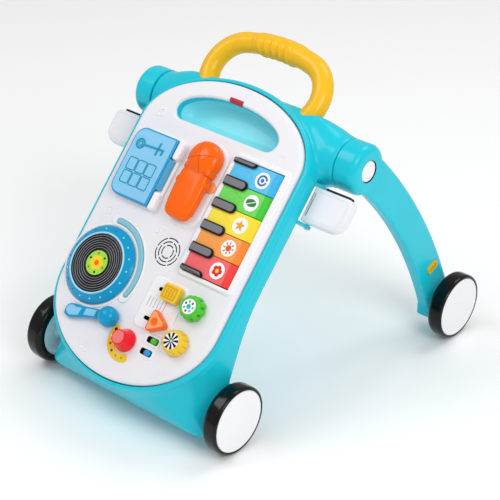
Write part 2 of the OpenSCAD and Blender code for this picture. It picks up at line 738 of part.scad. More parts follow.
module rear_leg() difference() {
    union() {
        translate([leg_in_x, 0, 0]) rotate([90, 0, 90]) linear_extrude(leg_t) leg_side();
        at_yz(rear_y, wheel_r) rod_x(leg_in_x, leg_x, leg_w / 2);
        at_yz(rear_y, wheel_r) rod_x(leg_x - 1, rear_wheel_x - 1, axle_boss_r);
        at_yz(hinge_y, hinge_z) rod_x(barrel_split + split_gap, leg_x, barrel_r);
    }
    at_yz(hinge_y, hinge_z) rod_x(100, leg_x - hub_cap_well - 6, pin_r + RUN);
    at_yz(hinge_y, hinge_z) rod_x(leg_x - hub_cap_well, leg_x + 5, hub_cap_r + 0.4);
    at_yz(rear_y, wheel_r) rod_x(leg_in_x + 4, rear_wheel_x + 5, axle_r);
    lock_place() translate([leg_x - lock_depth, 0, 0]) rotate([90, 0, 90]) linear_extrude(20)
        square([lock_w + 1, lock_len + 1], center = true);
}

module lock_place() {
    translate([0, lock_y, lock_z]) rotate([180 - lock_a, 0, 0]) children();
}

module wheel_lock() lock_place() translate([leg_x - 4, 0, 0]) rotate([90, 0, 90])
    linear_extrude(4 + lock_proud) rounded_box(-lock_w / 2, -lock_len / 2, lock_w / 2, lock_len / 2, 5);

module hub_button() at_yz(hinge_y, hinge_z) {
    rod_x(leg_x - hub_cap_t - 1, leg_x + 1, hub_cap_r);
}

module rear_axle() at_yz(rear_y, wheel_r) rod_x(leg_in_x + 4, rear_track - 4.5, axle_r);

module rear_axle_right() color("silver") rear_axle();
module rear_axle_left() color("silver") mirror([1, 0, 0]) rear_axle();
module leg_right() color("mediumturquoise") rear_leg();
module leg_left() color("mediumturquoise") mirror([1, 0, 0]) rear_leg();
module hub_button_right() color("white") hub_button();
module hub_button_left() color("white") mirror([1, 0, 0]) hub_button();
module wheel_lock_right() color("goldenrod") wheel_lock();
module wheel_lock_left() color("goldenrod") mirror([1, 0, 0]) wheel_lock();

// One steel pin a side joins the frame's barrel to the leg.
module hinge_pins() color("silver") both_sides() at_yz(hinge_y, hinge_z)
    rod_x(barrel_split - 46, leg_x - hub_cap_well - 7, pin_r);

module front_axle() color("silver") at_yz(front_y, wheel_r)
    rod_x(-front_track + 4.5, front_track - 4.5, axle_r);

// ---------- wheels ----------
module tyre(x) translate([x, 0, 0]) rotate([0, 90, 0]) rotate_extrude()
    polygon([[hub_r - 4, 0], [wheel_r - 6, 0], [wheel_r - 2, 2], [wheel_r, 6],
        [wheel_r, wheel_w - 3], [wheel_r - 1, wheel_w - 1], [wheel_r - 2.5, wheel_w],
        [hub_r, wheel_w], [hub_r, wheel_w - 3], [hub_r - 4, wheel_w - 3]]);

module hub(x) translate([x, 0, 0]) rotate([0, 90, 0]) difference() {
    union() {
        translate([0, 0, wheel_w - 3]) cylinder(h = 3, r = hub_r);
        translate([0, 0, 2]) cylinder(h = wheel_w - 5, r = hub_r - 4);
        cylinder(h = 3, r = axle_r + 5);
    }
    translate([0, 0, -1]) cylinder(h = wheel_w - 3, r = bore_r);
    difference() {
        translate([0, 0, 1]) cylinder(h = wheel_w - 7, r = hub_r - 8);
        cylinder(h = wheel_w, r = axle_r + 5);
    }
}

module at_front() { at_yz(front_y, wheel_r) children(); }
module at_rear() { at_yz(rear_y, wheel_r) children(); }
module tyre_front_right() color("black") at_front() tyre(front_wheel_x);
module tyre_front_left() color("black") mirror([1, 0, 0]) at_front() tyre(front_wheel_x);
module tyre_rear_right() color("black") at_rear() tyre(rear_wheel_x);
module tyre_rear_left() color("black") mirror([1, 0, 0]) at_rear() tyre(rear_wheel_x);
module hub_front_right() color("white") at_front() hub(front_wheel_x);
module hub_front_left() color("white") mirror([1, 0, 0]) at_front() hub(front_wheel_x);
module hub_rear_right() color("white") at_rear() hub(rear_wheel_x);
module hub_rear_left() color("white") mirror([1, 0, 0]) at_rear() hub(rear_wheel_x);

// ---------- fasteners ----------
module screws() color("silver") on_panel()
    for (p = screw_places)
        translate([p[0], p[1], -tray_back - screw_head_t]) {
            cylinder(h = screw_head_t, r = screw_head_r);
            cylinder(h = screw_len, r = screw_r);
        }

front_frame();
push_handle();
panel_shell();
panel_back();
battery_door();
batteries();
circuit_board();
speaker_driver();
speaker_grille();
hinge_rods();
key_sharps();
key_blue();
key_green();
key_yellow();
key_orange();
key_red();
turntable_ring();
record_disc();
record_label();
turntable_spindle();
light_window();
tonearm();
flap_base();
flap_door();
mic_cradle();
mic_rocker();
slider_plate();
slider_square();
slider_triangle();
knob_green();
knob_yellow();
dial_plate();
dial_red();
switch_green();
switch_blue();
red_tag();
foot_right();
foot_pad_right();
foot_left();
foot_pad_left();
hinge_pins();
screws();
leg_right();
leg_left();
hub_button_right();
hub_button_left();
wheel_lock_right();
wheel_lock_left();
front_axle();
rear_axle_right();
rear_axle_left();
tyre_front_right();
tyre_front_left();
tyre_rear_right();
tyre_rear_left();
hub_front_right();
hub_front_left();
hub_rear_right();
hub_rear_left();
key_rest();
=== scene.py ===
import json
from math import atan2, copysign, cos, degrees, exp, hypot, pi, radians, sin

import bmesh
import bpy
from mathutils import Matrix, Vector


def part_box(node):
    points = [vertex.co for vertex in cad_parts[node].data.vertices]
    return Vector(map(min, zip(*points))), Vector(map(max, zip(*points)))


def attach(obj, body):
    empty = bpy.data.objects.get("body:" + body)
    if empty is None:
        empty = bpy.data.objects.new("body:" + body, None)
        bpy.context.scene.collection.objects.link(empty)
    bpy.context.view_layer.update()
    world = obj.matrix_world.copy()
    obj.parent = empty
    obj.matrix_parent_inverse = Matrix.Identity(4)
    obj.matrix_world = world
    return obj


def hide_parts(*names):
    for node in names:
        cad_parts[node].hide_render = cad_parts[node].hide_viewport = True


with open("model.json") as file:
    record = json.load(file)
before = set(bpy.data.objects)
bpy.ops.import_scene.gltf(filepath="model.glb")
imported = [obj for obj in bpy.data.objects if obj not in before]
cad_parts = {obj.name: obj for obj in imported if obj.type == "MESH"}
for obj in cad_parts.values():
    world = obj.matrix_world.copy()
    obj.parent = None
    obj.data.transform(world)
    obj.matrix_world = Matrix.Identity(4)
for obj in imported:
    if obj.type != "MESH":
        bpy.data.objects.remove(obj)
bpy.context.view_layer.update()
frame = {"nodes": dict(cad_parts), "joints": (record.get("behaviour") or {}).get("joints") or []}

# ---------- frames of reference ----------
# Shapes are in millimetres, the stage and the camera in metres.
# A frame is (origin, first axis, second axis, third axis).
MM = 0.001
X, Y, Z = Vector((1, 0, 0)), Vector((0, 1, 0)), Vector((0, 0, 1))
JOINTS = {j["name"]: j for j in frame["joints"]}
SIDES = (("right", 1), ("left", -1))


def joint_pos(name):
    return Vector(JOINTS[name]["pos_m"])


DISC = (-73.8, -2.5)
SLOPE = Vector(JOINTS["key_red_press"]["axis"])
OUT = Vector(JOINTS["turntable_spin"]["axis"])
PANEL_ORIGIN = joint_pos("turntable_spin") - (X * DISC[0] + SLOPE * DISC[1] + OUT * 5) * MM
# Panel frame: across to the right, up the slope, out of the panel's face.
PANEL = (PANEL_ORIGIN, X, SLOPE, OUT)
WHEEL_W = 23.0
OUTER_FACE = {"front": 163.0, "rear": 215.0}
FRONT_AXLE = joint_pos("front_wheel_right_spin") / MM
REAR_AXLE = joint_pos("rear_wheel_right_spin") / MM
HINGE = joint_pos("leg_fold_right") / MM


def side_frame(sign):
    """Side view frame: back, up, and outwards to that side."""
    return (Vector((0, 0, 0)), Y, Z, X * sign)


def at(f, a, b, c=0.0):
    return f[0] + (f[1] * a + f[2] * b + f[3] * c) * MM


def to_panel(p):
    """(u, v, h) of a row point given in millimetres."""
    d = p - PANEL_ORIGIN / MM
    return d.dot(X), d.dot(SLOPE), d.dot(OUT)


# ---------- outlines: lists of (a, b) ----------
def arc(a, b, r, a0, a1, n, r2=None):
    r2 = r if r2 is None else r2
    angles = [radians(a0 + (a1 - a0) * i / n) for i in range(n + 1)]
    return [(a + r * cos(t), b + r2 * sin(t)) for t in angles]


def polar(p, r, t):
    return (p[0] + r * cos(t), p[1] + r * sin(t))


def squared(x, power):
    """A cosine or sine pushed towards 1 or -1, which flattens a round section's sides."""
    return copysign(abs(x) ** power, x)


def quarter(n, first=1):
    """Angles of a quarter turn in n steps, in radians."""
    return [pi / 2 * i / n for i in range(first, n + 1)]


def section(n, half, tall, across, up, down=None):
    """Closed section of n points; smaller powers across, up and down make squarer sides."""
    down = up if down is None else down
    turns = [2 * pi * i / n for i in range(n)]
    return [(squared(cos(t), across) * half, squared(sin(t), up if sin(t) > 0 else down) * tall) for t in turns]


def box_line(p, a, b, r):
    """Rounded rectangle centred on p that reaches a across and b along the slope."""
    return rounded(p[0] - a, p[1] - b, p[0] + a, p[1] + b, r)


def circle(a, b, r, n=48):
    return arc(a, b, r, 0, 360, n)[:-1]


def rounded(a0, b0, a1, b1, r, n=6):
    """Rectangle with rounded corners; r is one radius or four from the upper right, counter-clockwise."""
    r = (r, r, r, r) if isinstance(r, (int, float)) else r
    corners = ((a1 - r[0], b1 - r[0], r[0]), (a0 + r[1], b1 - r[1], r[1]),
               (a0 + r[2], b0 + r[2], r[2]), (a1 - r[3], b0 + r[3], r[3]))
    line = []
    for k, (a, b, rad) in enumerate(corners):
        line += arc(a, b, rad, 90 * k, 90 * k + 90, n)
    return line


def capsule(p, q, r, n=10):
    """Slot outline with round ends from p to q."""
    t = degrees(atan2(q[1] - p[1], q[0] - p[0]))
    return arc(q[0], q[1], r, t - 90, t + 90, n) + arc(*p, r, t + 90, t + 270, n)


def band(a, b, r0, r1, a0, a1, n=40, ends=True):
    """Curved band between two radii, with round ends."""
    outer = arc(a, b, r1, a0, a1, n)
    inner = arc(a, b, r0, a1, a0, n)
    if not ends:
        return outer + inner
    mid, half = (r0 + r1) / 2, (r1 - r0) / 2
    caps = []
    for t, turn in ((a1, 0), (a0, 180)):
        c = radians(t)
        cap = arc(a + mid * cos(c), b + mid * sin(c), half, t + turn, t + turn + 180, 10)
        caps.append(cap[1:-1])
    return outer + caps[0] + inner + caps[1]


def inset(line, d):
    """The outline moved inwards by d (outwards if negative); it runs counter-clockwise."""
    if d == 0:
        return list(line)
    n, moved = len(line), []
    for i, p in enumerate(line):
        before, after = line[i - 1], line[(i + 1) % n]
        e0 = Vector((p[0] - before[0], p[1] - before[1]))
        e1 = Vector((after[0] - p[0], after[1] - p[1]))
        if e0.length < 1e-6 or e1.length < 1e-6:
            e0 = e1 = Vector((after[0] - before[0], after[1] - before[1]))
        e0.normalize()
        e1.normalize()
        n0, n1 = Vector((-e0.y, e0.x)), Vector((-e1.y, e1.x))
        m = (n0 + n1) / max(0.5, 1 + n0.dot(n1))
        moved.append((p[0] + m.x * d, p[1] + m.y * d))
    return moved


PANEL_A, PANEL_TOP_V, PANEL_TOP, PANEL_LOW_V, PANEL_LOW = 129, 194, 79, -24, 100


def panel_line(d, side_steps=1):
    """The white panel's outline moved inwards by d: a dome above and below straight sides."""
    a = PANEL_A - d
    top = arc(0, PANEL_TOP_V, a, 0, 180, 48, PANEL_TOP - d)
    low = arc(0, PANEL_LOW_V, a, 180, 360, 48, PANEL_LOW - d)
    run = PANEL_TOP_V - PANEL_LOW_V
    down = [(-a, PANEL_TOP_V - run * i / side_steps) for i in range(1, side_steps)]
    up = [(a, PANEL_LOW_V + run * i / side_steps) for i in range(1, side_steps)]
    return top + down + low + up


OPEN_A, OPEN_V, OPEN_RISE, OPEN_R = 82, 206, 43, 14


def opening_line(extra):
    """The carry opening's outline grown by extra: flat below, domed above."""
    a, r, y0 = OPEN_A + extra, OPEN_R + extra, OPEN_V + OPEN_R
    dome = arc(0, y0, a, 0, 180, 36, OPEN_RISE - OPEN_R + extra)
    left = arc(-a + r, y0, r, 180, 270, 8)
    right = arc(a - r, y0, r, 270, 360, 8)
    return dome + left[1:] + right[:-1]


# ---------- mesh building: a part is (points, faces, material) ----------
def loft(rings, mat, caps=True, wrap=False):
    """Skin over rings that have the same number of points."""
    n = len(rings[0])
    points = [p for ring in rings for p in ring]
    faces = []
    for i in range(len(rings) if wrap else len(rings) - 1):
        lo, hi = i * n, ((i + 1) % len(rings)) * n
        faces += [(lo + k, lo + (k + 1) % n, hi + (k + 1) % n, hi + k) for k in range(n)]
    if caps and not wrap:
        faces += [tuple(range(n))[::-1], tuple(range(len(points) - n, len(points)))]
    return points, faces, mat


def tier(line, steps, mat, caps=True, wrap=False, f=PANEL):
    """Solid over an outline; each step is (inset, height)."""
    return loft([[at(f, a, b, h) for a, b in inset(line, d)] for d, h in steps], mat, caps, wrap)


def soft_edge(h0, h1, r, n=5, low=0.0):
    """Steps of a plate from h0 to h1 with its upper edge rounded by r, and its lower one by low."""
    under = [(low * (1 - sin(pi / 2 * i / n)), h0 + low * (1 - cos(pi / 2 * i / n)))
             for i in range(n)] if low else [(0, h0)]
    over = [(r * (1 - cos(pi / 2 * i / n)), h1 - r + r * sin(pi / 2 * i / n))
            for i in range(n + 1)]
    return under + over


def bar(line, stops, mat, f=PANEL):
    """Solid with the section line, a list of (across, out), run through stops up the slope."""
    return loft([[at(f, a, w, b) for a, b in line] for w in stops], mat)


def plate(line, h0, h1, r, mat, low=0.0, f=PANEL):
    return tier(line, soft_edge(h0, h1, r, low=low), mat, f=f)


def turned(centre, profile, mat, n=64, wrap=False, f=PANEL):
    """Solid turned about the frame's third axis; the profile is (radius, height)."""
    rings = [[at(f, *polar(centre, r, 2 * pi * k / n), h) for k in range(n)] for r, h in profile]
    return loft(rings, mat, True, wrap)


def set_mesh(obj, parts):
    bm = bmesh.new()
    mats = []
    for points, faces, mat in parts:
        if mat not in mats:
            mats.append(mat)
        verts = [bm.verts.new(p) for p in points]
        for f in faces:
            face = bm.faces.new([verts[i] for i in f])
            face.material_index = mats.index(mat)
    bmesh.ops.recalc_face_normals(bm, faces=bm.faces)
    bm.to_mesh(obj.data)
    bm.free()
    for mat in mats:
        obj.data.materials.append(mat)


def shade(obj, angle=32):
    """Smooth shading that stays sharp where faces meet at more than the angle."""
    bm = bmesh.new()
    bm.from_mesh(obj.data)
    limit = radians(angle)
    for e in bm.edges:
        e.smooth = len(e.link_faces) != 2 or e.calc_face_angle(0) < limit
    for f in bm.faces:
        f.smooth = True
    bm.to_mesh(obj.data)
    bm.free()
    mod = obj.modifiers.new("flat", "WEIGHTED_NORMAL")
    mod.keep_sharp = True
    apply_modifiers(obj)


def raw(name, parts):
    obj = bpy.data.objects.new(name, bpy.data.meshes.new(name))
    bpy.context.scene.collection.objects.link(obj)
    set_mesh(obj, parts)
    return obj


def apply_modifiers(obj):
    bpy.context.view_layer.update()
    made = obj.evaluated_get(bpy.context.evaluated_depsgraph_get())
    mesh = bpy.data.meshes.new_from_object(made)
    obj.modifiers.clear()
    obj.data = mesh


def carve(obj, parts, how="DIFFERENCE"):
    """Cuts the closed parts out of obj, or joins them on; new faces keep the parts' materials."""
    cutter = raw("cutter", parts)
    mod = obj.modifiers.new("cut", "BOOLEAN")
    mod.operation = how
    mod.solver = "MANIFOLD"
    mod.material_mode = "TRANSFER"
    mod.object = cutter
    apply_modifiers(obj)
    bpy.data.objects.remove(cutter)


def fuse(obj, voxel, passes):
    """Melts the overlapping parts of obj into one smooth skin."""
    mats = list(obj.data.materials)
    mod = obj.modifiers.new("fuse", "REMESH")
    mod.mode = "VOXEL"
    mod.voxel_size = voxel * MM
    even = obj.modifiers.new("even", "SMOOTH")
    even.factor = 0.5
    even.iterations = passes
    apply_modifiers(obj)
    obj.data.materials.clear()
    obj.data.materials.append(mats[0])


def piece(name, body, parts, nodes=(), angle=32):
    obj = raw(name, parts)
    return settle(obj, body, nodes, angle)


def settle(obj, body, nodes=(), angle=32):
    shade(obj, angle)
    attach(obj, body)
    if nodes:
        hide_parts(*nodes)
    return obj


# ---------- materials ----------
def linear(hex_colour):
    parts = [int(hex_colour[i:i + 2], 16) / 255 for i in (0, 2, 4)]
    return tuple(c / 12.92 if c <= 0.04045 else ((c + 0.055) / 1.055) ** 2.4 for c in parts) + (1,)


def plastic(name, hex_colour, rough=0.28, vary=0.06, bump=0.04, grain=900, coat=0.0, trans=0.0, metal=0.0):
    """Moulded plastic: slight colour drift, uneven gloss and a fine moulded grain."""
    mat = bpy.data.materials.new(name)
    mat.use_nodes = True
    nt = mat.node_tree
    shader = nt.nodes["Principled BSDF"]
    where = nt.nodes.new("ShaderNodeTexCoord")

    def noise(scale, detail):
        node = nt.nodes.new("ShaderNodeTexNoise")
        node.inputs["Scale"].default_value = scale
        node.inputs["Detail"].default_value = detail
        nt.links.new(where.outputs["Object"], node.inputs["Vector"])
        return node.outputs["Fac"]

    colour = linear(hex_colour)
    mix = nt.nodes.new("ShaderNodeMix")
    mix.data_type = "RGBA"
    mix.inputs[6].default_value = tuple(c * (1 - vary) for c in colour[:3]) + (1,)
    mix.inputs[7].default_value = tuple(min(1, c * (1 + vary)) for c in colour[:3]) + (1,)
    nt.links.new(noise(14, 3), mix.inputs[0])
    nt.links.new(mix.outputs[2], shader.inputs["Base Color"])
    gloss = nt.nodes.new("ShaderNodeMapRange")
    gloss.inputs["To Min"].default_value = max(0.02, rough - 0.06)
    gloss.inputs["To Max"].default_value = rough + 0.06
    nt.links.new(noise(60, 4), gloss.inputs["Value"])
    nt.links.new(gloss.outputs["Result"], shader.inputs["Roughness"])
    relief = nt.nodes.new("ShaderNodeBump")
    relief.inputs["Strength"].default_value = bump
    relief.inputs["Distance"].default_value = 0.0004
    nt.links.new(noise(grain, 2), relief.inputs["Height"])
    nt.links.new(relief.outputs["Normal"], shader.inputs["Normal"])
    shader.inputs["Coat Weight"].default_value = coat * 0.25
    shader.inputs["Specular IOR Level"].default_value = 0.22
    shader.inputs["Coat Roughness"].default_value = 0.08
    shader.inputs["Metallic"].default_value = metal
    shader.inputs["Transmission Weight"].default_value = trans
    shader.inputs["IOR"].default_value = 1.5
    mat.diffuse_color = colour
    return mat


TURQUOISE = plastic("turquoise_shell", "18C6D9", rough=0.24, coat=0.35)
WHITE = plastic("white_shell", "E9E9EE", rough=0.3, vary=0.015, coat=0.2)
TRIM = plastic("white_trim", "F0F0F3", rough=0.26, vary=0.015, coat=0.2)
YELLOW = plastic("handle_yellow", "F5BC1E", rough=0.24, coat=0.3)
TYRE = plastic("tyre_black", "060607", rough=0.16, vary=0.2, coat=0.5)
PAD = plastic("pad_rubber", "0E1012", rough=0.55, vary=0.2, bump=0.2)
HUB = plastic("hub_white", "F1F1F3", rough=0.3, vary=0.01, coat=0.1)
AMBER = plastic("lock_amber", "EBB414", rough=0.2, coat=0.5)
ORANGE = plastic("mic_orange", "FF6600", rough=0.22, coat=0.4)
ORANGE_DARK = plastic("mic_orange_seam", "C84A00", rough=0.35)
ORANGE_PALE = plastic("orange_pale", "FFA468", rough=0.3, coat=0.2)
FLAP = plastic("flap_blue", "2299D2", rough=0.2, coat=0.5)
FLAP_LIGHT = plastic("flap_light", "86C9EE", rough=0.24, coat=0.4)
FLAP_LINE = plastic("flap_line", "1795B8", rough=0.3)
RING = plastic("ring_blue", "0098C8", rough=0.22, coat=0.4)
# Paler copy of the ring's blue: painted highlight along the turntable rim's top lip and painted light on the
# dots of the lit side.
RING_LIT = plastic("ring_painted_light", "A6DDF2", rough=0.24, coat=0.3)
# Darker copy of the ring's blue: painted shade on the dots away from the light and beside the blue switch's
# toggle.
RING_SHADE = plastic("ring_painted_shade", "0076AE", rough=0.3)
RECORD = plastic("record_black", "1A1A1E", rough=0.22, vary=0.1, coat=0.4)
LABEL = plastic("label_green", "9BDC45", rough=0.45)
LENS = plastic("light_lens", "86C2D2", rough=0.32, coat=0.2)
LENS_EDGE = plastic("light_lens_edge", "4C90A4", rough=0.35)
INK_WHITE = plastic("print_white", "F7F7F5", rough=0.45, vary=0.01)
INK_BLACK = plastic("print_black", "0B0B0C", rough=0.4, vary=0.1)
INK_YELLOW = plastic("print_yellow", "FFD21E", rough=0.45)
INK_RED = plastic("print_red", "E0262B", rough=0.45)
INK_TEAL = plastic("print_teal", "2FB6A8", rough=0.45)
INK_PURPLE = plastic("print_purple", "5A3AA0", rough=0.45)
INK_GREY = plastic("print_grey", "A9ABB0", rough=0.5, vary=0.02)
SHARP = plastic("sharp_grey", "77767C", rough=0.36, coat=0.1)
SHARP_EDGE = plastic("sharp_edge", "060607", rough=0.3)
SLIDER = plastic("slider_yellow", "EFC52F", rough=0.24, coat=0.3)
SLIDER_LINE = plastic("slider_line", "D9A81A", rough=0.3)
GREEN = plastic("knob_green", "4CC22E", rough=0.24, coat=0.3)
GREEN_DARK = plastic("knob_green_dark", "1E8F1C", rough=0.3)
RED = plastic("dial_red", "EC1C2C", rough=0.2, coat=0.5)
PINK = plastic("dial_pink", "F27878", rough=0.3, coat=0.2)
SWITCH_BLUE = plastic("switch_blue", "2C9ADB", rough=0.24, coat=0.3)
# Near-black painted shade for the walls and floors of the slots, holes, windows, pockets and wells cut into the
# mouldings.
RECESS_SHADE = plastic("painted_recess_shade", "101214", rough=0.6, vary=0.2)
STEEL = plastic("steel", "B9BBC0", rough=0.3, vary=0.04, bump=0.1, metal=1.0)
BOARD = plastic("circuit_board", "0F5A30", rough=0.5)
CELL = plastic("cell_wrap", "2B2D31", rough=0.35)
GREY = plastic("speaker_grey", "C9CACD", rough=0.45)
# Paler copy of the turquoise shell: painted light on the dish seen through the carry opening.
DISH_LIT = plastic("turquoise_dish_painted_light", "8FEBF5", rough=0.3, coat=0.2)
# Light grey lines on the record: painted highlights of its grooves.
GROOVE_SHEEN = plastic("record_groove_painted_sheen", "8E8F96", rough=0.25, vary=0.1)
TAG = plastic("tag_red", "B8323C", rough=0.5)
# Colours of each key's top, lip and print; the paler top colour is painted light on the key's upper face, the
# lip is the key's own colour.
KEY_COLOURS_LIT_TOP = {
    "red": ("F4696A", "F03A36", "D81F30"),
    "orange": ("FFA14C", "FF8420", "D9600C"),
    "yellow": ("FFE23E", "FBD90A", "EE9E10"),
    "green": ("6CDA52", "2FC41E", "1F7F30"),
    "blue": ("4EC2F0", "1FB0E6", "1668C4"),
}
KEY_MATS = {name: [plastic(f"key_{name}_{part}", colour, rough=0.26, coat=0.25)
                   for part, colour in zip(("top", "lip", "print"), colours)]
            for name, colours in KEY_COLOURS_LIT_TOP.items()}


# ---------- front frame ----------
RIM_OUT = -7.0
WALL_BACK = -37.0
BODY_FRONT = -13.5
DISH_FLOOR = -34.2
SKIRT_FOOT = 20.0
# (across, out) of the side feet's hinge pins
FOOT_HINGE = (140, -53)


def frame_edge():
    """The back edge of the frame's side wall, point by point along the rim's outline."""
    half = PANEL_A - RIM_OUT
    front = FRONT_AXLE.y - 33
    rear = FRONT_AXLE.y + 28
    # (angle round the lower curve, point of the free edge)
    knots = [(a, to_panel(Vector(p))) for a, p in (
        (0.0, (half, rear - 12, 82)), (-12.0, (half, rear, 48)), (-25.0, (half, rear - 5, SKIRT_FOOT)),
        (-45.0, (half, front + 8, SKIRT_FOOT)), (-58.0, (half - 14, front, SKIRT_FOOT)),
        (-90.0, (0, front, SKIRT_FOOT)))]
    edge = []
    for u, v in panel_line(RIM_OUT, side_steps=16):
        if v >= PANEL_LOW_V + 1e-6:
            drop = max(0.0, (40.0 - v) / (40.0 - PANEL_LOW_V)) ** 2
            end = knots[0][1]
            edge.append((u, v + (end[1] - PANEL_LOW_V) * drop, WALL_BACK + (end[2] - WALL_BACK) * drop))
            continue
        t = -degrees(atan2(abs(v - PANEL_LOW_V) / (PANEL_LOW - RIM_OUT), abs(u) / half))
        k = max(i for i in range(len(knots) - 1) if t <= knots[i][0] + 1e-9)
        (t0, p0), (t1, p1) = knots[k], knots[k + 1]
        s = (t - t0) / (t1 - t0)
        p = [p0[i] + (p1[i] - p0[i]) * s for i in range(3)]
        edge.append((copysign(p[0], u), p[1], p[2]))
    return edge


def frame_shell():
    """The rim's outline lofted back to its free edge, closed across behind."""
    rim = panel_line(RIM_OUT + 0.25, side_steps=16)
    edge = frame_edge()
    rings = []
    steps = 10
    for i in range(steps + 1):
        s = i / steps
        ring = []
        for (u, v), (eu, ev, eh) in zip(rim, edge):
            depth = BODY_FRONT - eh
            start, end = Vector((u, v, BODY_FRONT)), Vector((eu, ev, eh))
            leave = Vector((0, 0, -depth))
            arrive = (end - start) * 0.9
            h00, h10 = 2 * s ** 3 - 3 * s ** 2 + 1, s ** 3 - 2 * s ** 2 + s
            h01, h11 = -2 * s ** 3 + 3 * s ** 2, s ** 3 - s ** 2
            p = start * h00 + leave * h10 + end * h01 + arrive * h11
            ring.append(at(PANEL, p.x, p.y, p.z))
        rings.append(ring)
    points, faces, mat = loft(rings, TURQUOISE, caps=False)
    n = len(rim)
    faces.append(tuple(range(n))[::-1])
    last = len(points) - n
    right = [last + i for i, p in enumerate(edge) if p[0] > 1e-6]
    left = [last + j for j, q in enumerate(edge) if q[0] < 1e-6]
    mate = {}
    for i in right:
        u, v, h = edge[i - last]
        mirrored = Vector((-u, v, h))
        mate[i] = min(left, key=lambda j: (Vector(edge[j - last]) - mirrored).length_squared)
    centre = [last + i for i, p in enumerate(edge) if abs(p[0]) <= 1e-6]
    for i in right:
        j = last + (i - last + 1) % n
        if j in mate:
            faces.append((i, j, mate[j], mate[i]))
    for c in centre:
        before, after = last + (c - last - 1) % n, last + (c - last + 1) % n
        faces.append((before, c, after))
    return points, faces, mat


END_ROUND = 0.4


def head():
    """Broad head from barrel to barrel: round at its ends, wide and low in the middle."""
    _, hub_v, hub_h = to_panel(Vector((0, HINGE.y, HINGE.z)))
    # half length along X: (u, centre v, centre h, half v, half h, squareness)
    knots = ((0, 247, -36, 31, 17, 3.0), (88, 246, -36, 32, 18, 3.0), (112, 240, -43, 37, 24, 2.6),
             (128, 237, -51, 38, 31, 2.2), (140, hub_v, hub_h, 33.5, 33.5, 2.0),
             (151, hub_v, hub_h, 32.3, 32.3, 2.0))
    rings = []
    stops = [-150.9, -150.3, -146, -140, -134, -128, -120, -112, -104, -96, -88, -60, -30, 0]
    stops += [-s for s in stops[-2::-1]]
    for u in stops:
        a = abs(u)
        k = max(i for i in range(len(knots) - 1) if a >= knots[i][0])
        s = (a - knots[k][0]) / (knots[k + 1][0] - knots[k][0])
        s = s * s * (3 - 2 * s)
        v, h, rv, rh, sq = [knots[k][i] + (knots[k + 1][i] - knots[k][i]) * s for i in range(1, 6)]
        less = 0.0 if a < 150.5 else END_ROUND
        line = section(48, rv - less, rh - less, 2 / sq, 2 / sq)
        rings.append([at(PANEL, u, v + x, h + y) for x, y in line])
    return loft(rings, TURQUOISE)


def axle_bosses():
    parts = []
    for _, sign in SIDES:
        profile = [(12, 120), (12, 138.4), (11, 139.4)]
        parts += [turned((FRONT_AXLE.y, FRONT_AXLE.z), profile, TURQUOISE, 32, f=side_frame(sign))]
    return parts


def build_frame():
    body = raw("frame_body", [frame_shell(), head()] + axle_bosses())
    fuse(body, 2.4, 6)
    line = opening_line(1.5)
    rings = [[at(PANEL, u, v, h) for u, v in inset(line, d)]
             for d, h in ((0, 6), (0, -18), (2, -25), (6, -30), (12, -33))]
    # The dish's floor is its lowest edge drawn in towards the middle.
    middle = 226
    rings.append([at(PANEL, u * 0.86, middle + (v - middle) * 0.8, DISH_FLOOR) for u, v in inset(line, 12)])
    # The dish takes the pale turquoise, painted light on the frame's own plastic.
    dish = loft(rings, DISH_LIT)
    # The pocket under the keys is lined with painted shade.
    keys = tier(rounded(38, 31, 119, 191, 3), [(0, -19), (0, 2)], RECESS_SHADE)
    well = tier(rounded(-32, -26, 32, 26, 1), [(0, -60), (0, DISH_FLOOR - 0.1)], TURQUOISE)
    carve(body, [dish])
    carve(body, [keys])
    carve(body, [well])
    settle(body, "root", ["front_frame"], 40)
    lugs = []
    for _, sign in SIDES:
        f = (PANEL[0], X * sign, SLOPE, OUT)
        for v in (145.6, 196.5):
            ear = arc(*FOOT_HINGE, 4.6, 200, 370, 12) + [(141, -40), (134, -35), (124, -34), (126, -46)]
            lugs += [bar(ear, (v, v + 3.8), TURQUOISE, f)]
    piece("foot_lugs", "root", lugs)
    line = panel_line(0, 1)
    rim = [(-1.0, -15.0), (-1.0, -7.0), (-1.4, -6.0), (-2.2, -5.6), (-2.8, -5.6)]
    rim += [(-2.8 - 4.2 * sin(t), -5.6 - 8.0 * (1 - cos(t))) for t in quarter(8)]
    rim += [(-6.8, -14.6), (-6.0, -15.5)]
    piece("frame_rim", "root", [tier(line, rim, TURQUOISE, wrap=True)])
    lip = [(-1.2, -13), (-1.2, -3.8), (-0.7, -3.3), (0.3, -3.6), (0.3, -13)]
    piece("opening_liner", "root", [tier(opening_line(0), lip, TURQUOISE, wrap=True)])


# ---------- white activity panel ----------
SLIDE_TRAVEL = 22
SQUARE, TRIANGLE = (48.5, 2.6), (47, -36.4)
GREEN_KNOB, YELLOW_KNOB, DIAL = (85, -2.5), (84.5, -48.3), (14.5, -72.3)
SWITCHES = {"green": (50, -58), "blue": (48.5, -74)}
SPEAKER = (9, 47)
SLOT_HALF = 2.5


def note(u, v, s, lean=0.0):
    """Two joined quavers, raised on the panel."""
    def p(a, b):
        c, d = cos(lean), sin(lean)
        return u + s * (a * c - b * d), v + s * (a * d + b * c)
    parts = []
    for a in (-4, 4):
        heads = [p(a + 2.3 * cos(t) - 1.6, -6 + 1.7 * sin(t)) for t in [pi * i / 8 for i in range(16)]]
        parts += [plate(heads, -0.2, 1.1, 0.5, TRIM)]
        tail = capsule(p(a + 0.5, -6), p(a + 0.5, 4 + a * 0.2), 0.7 * s)
        parts += [plate(tail, -0.2, 1.0, 0.3, TRIM)]
    parts += [plate(capsule(p(-3.5, 3.6), p(4.5, 5.2), 1.1 * s), -0.2, 1.1, 0.5, TRIM)]
    return parts


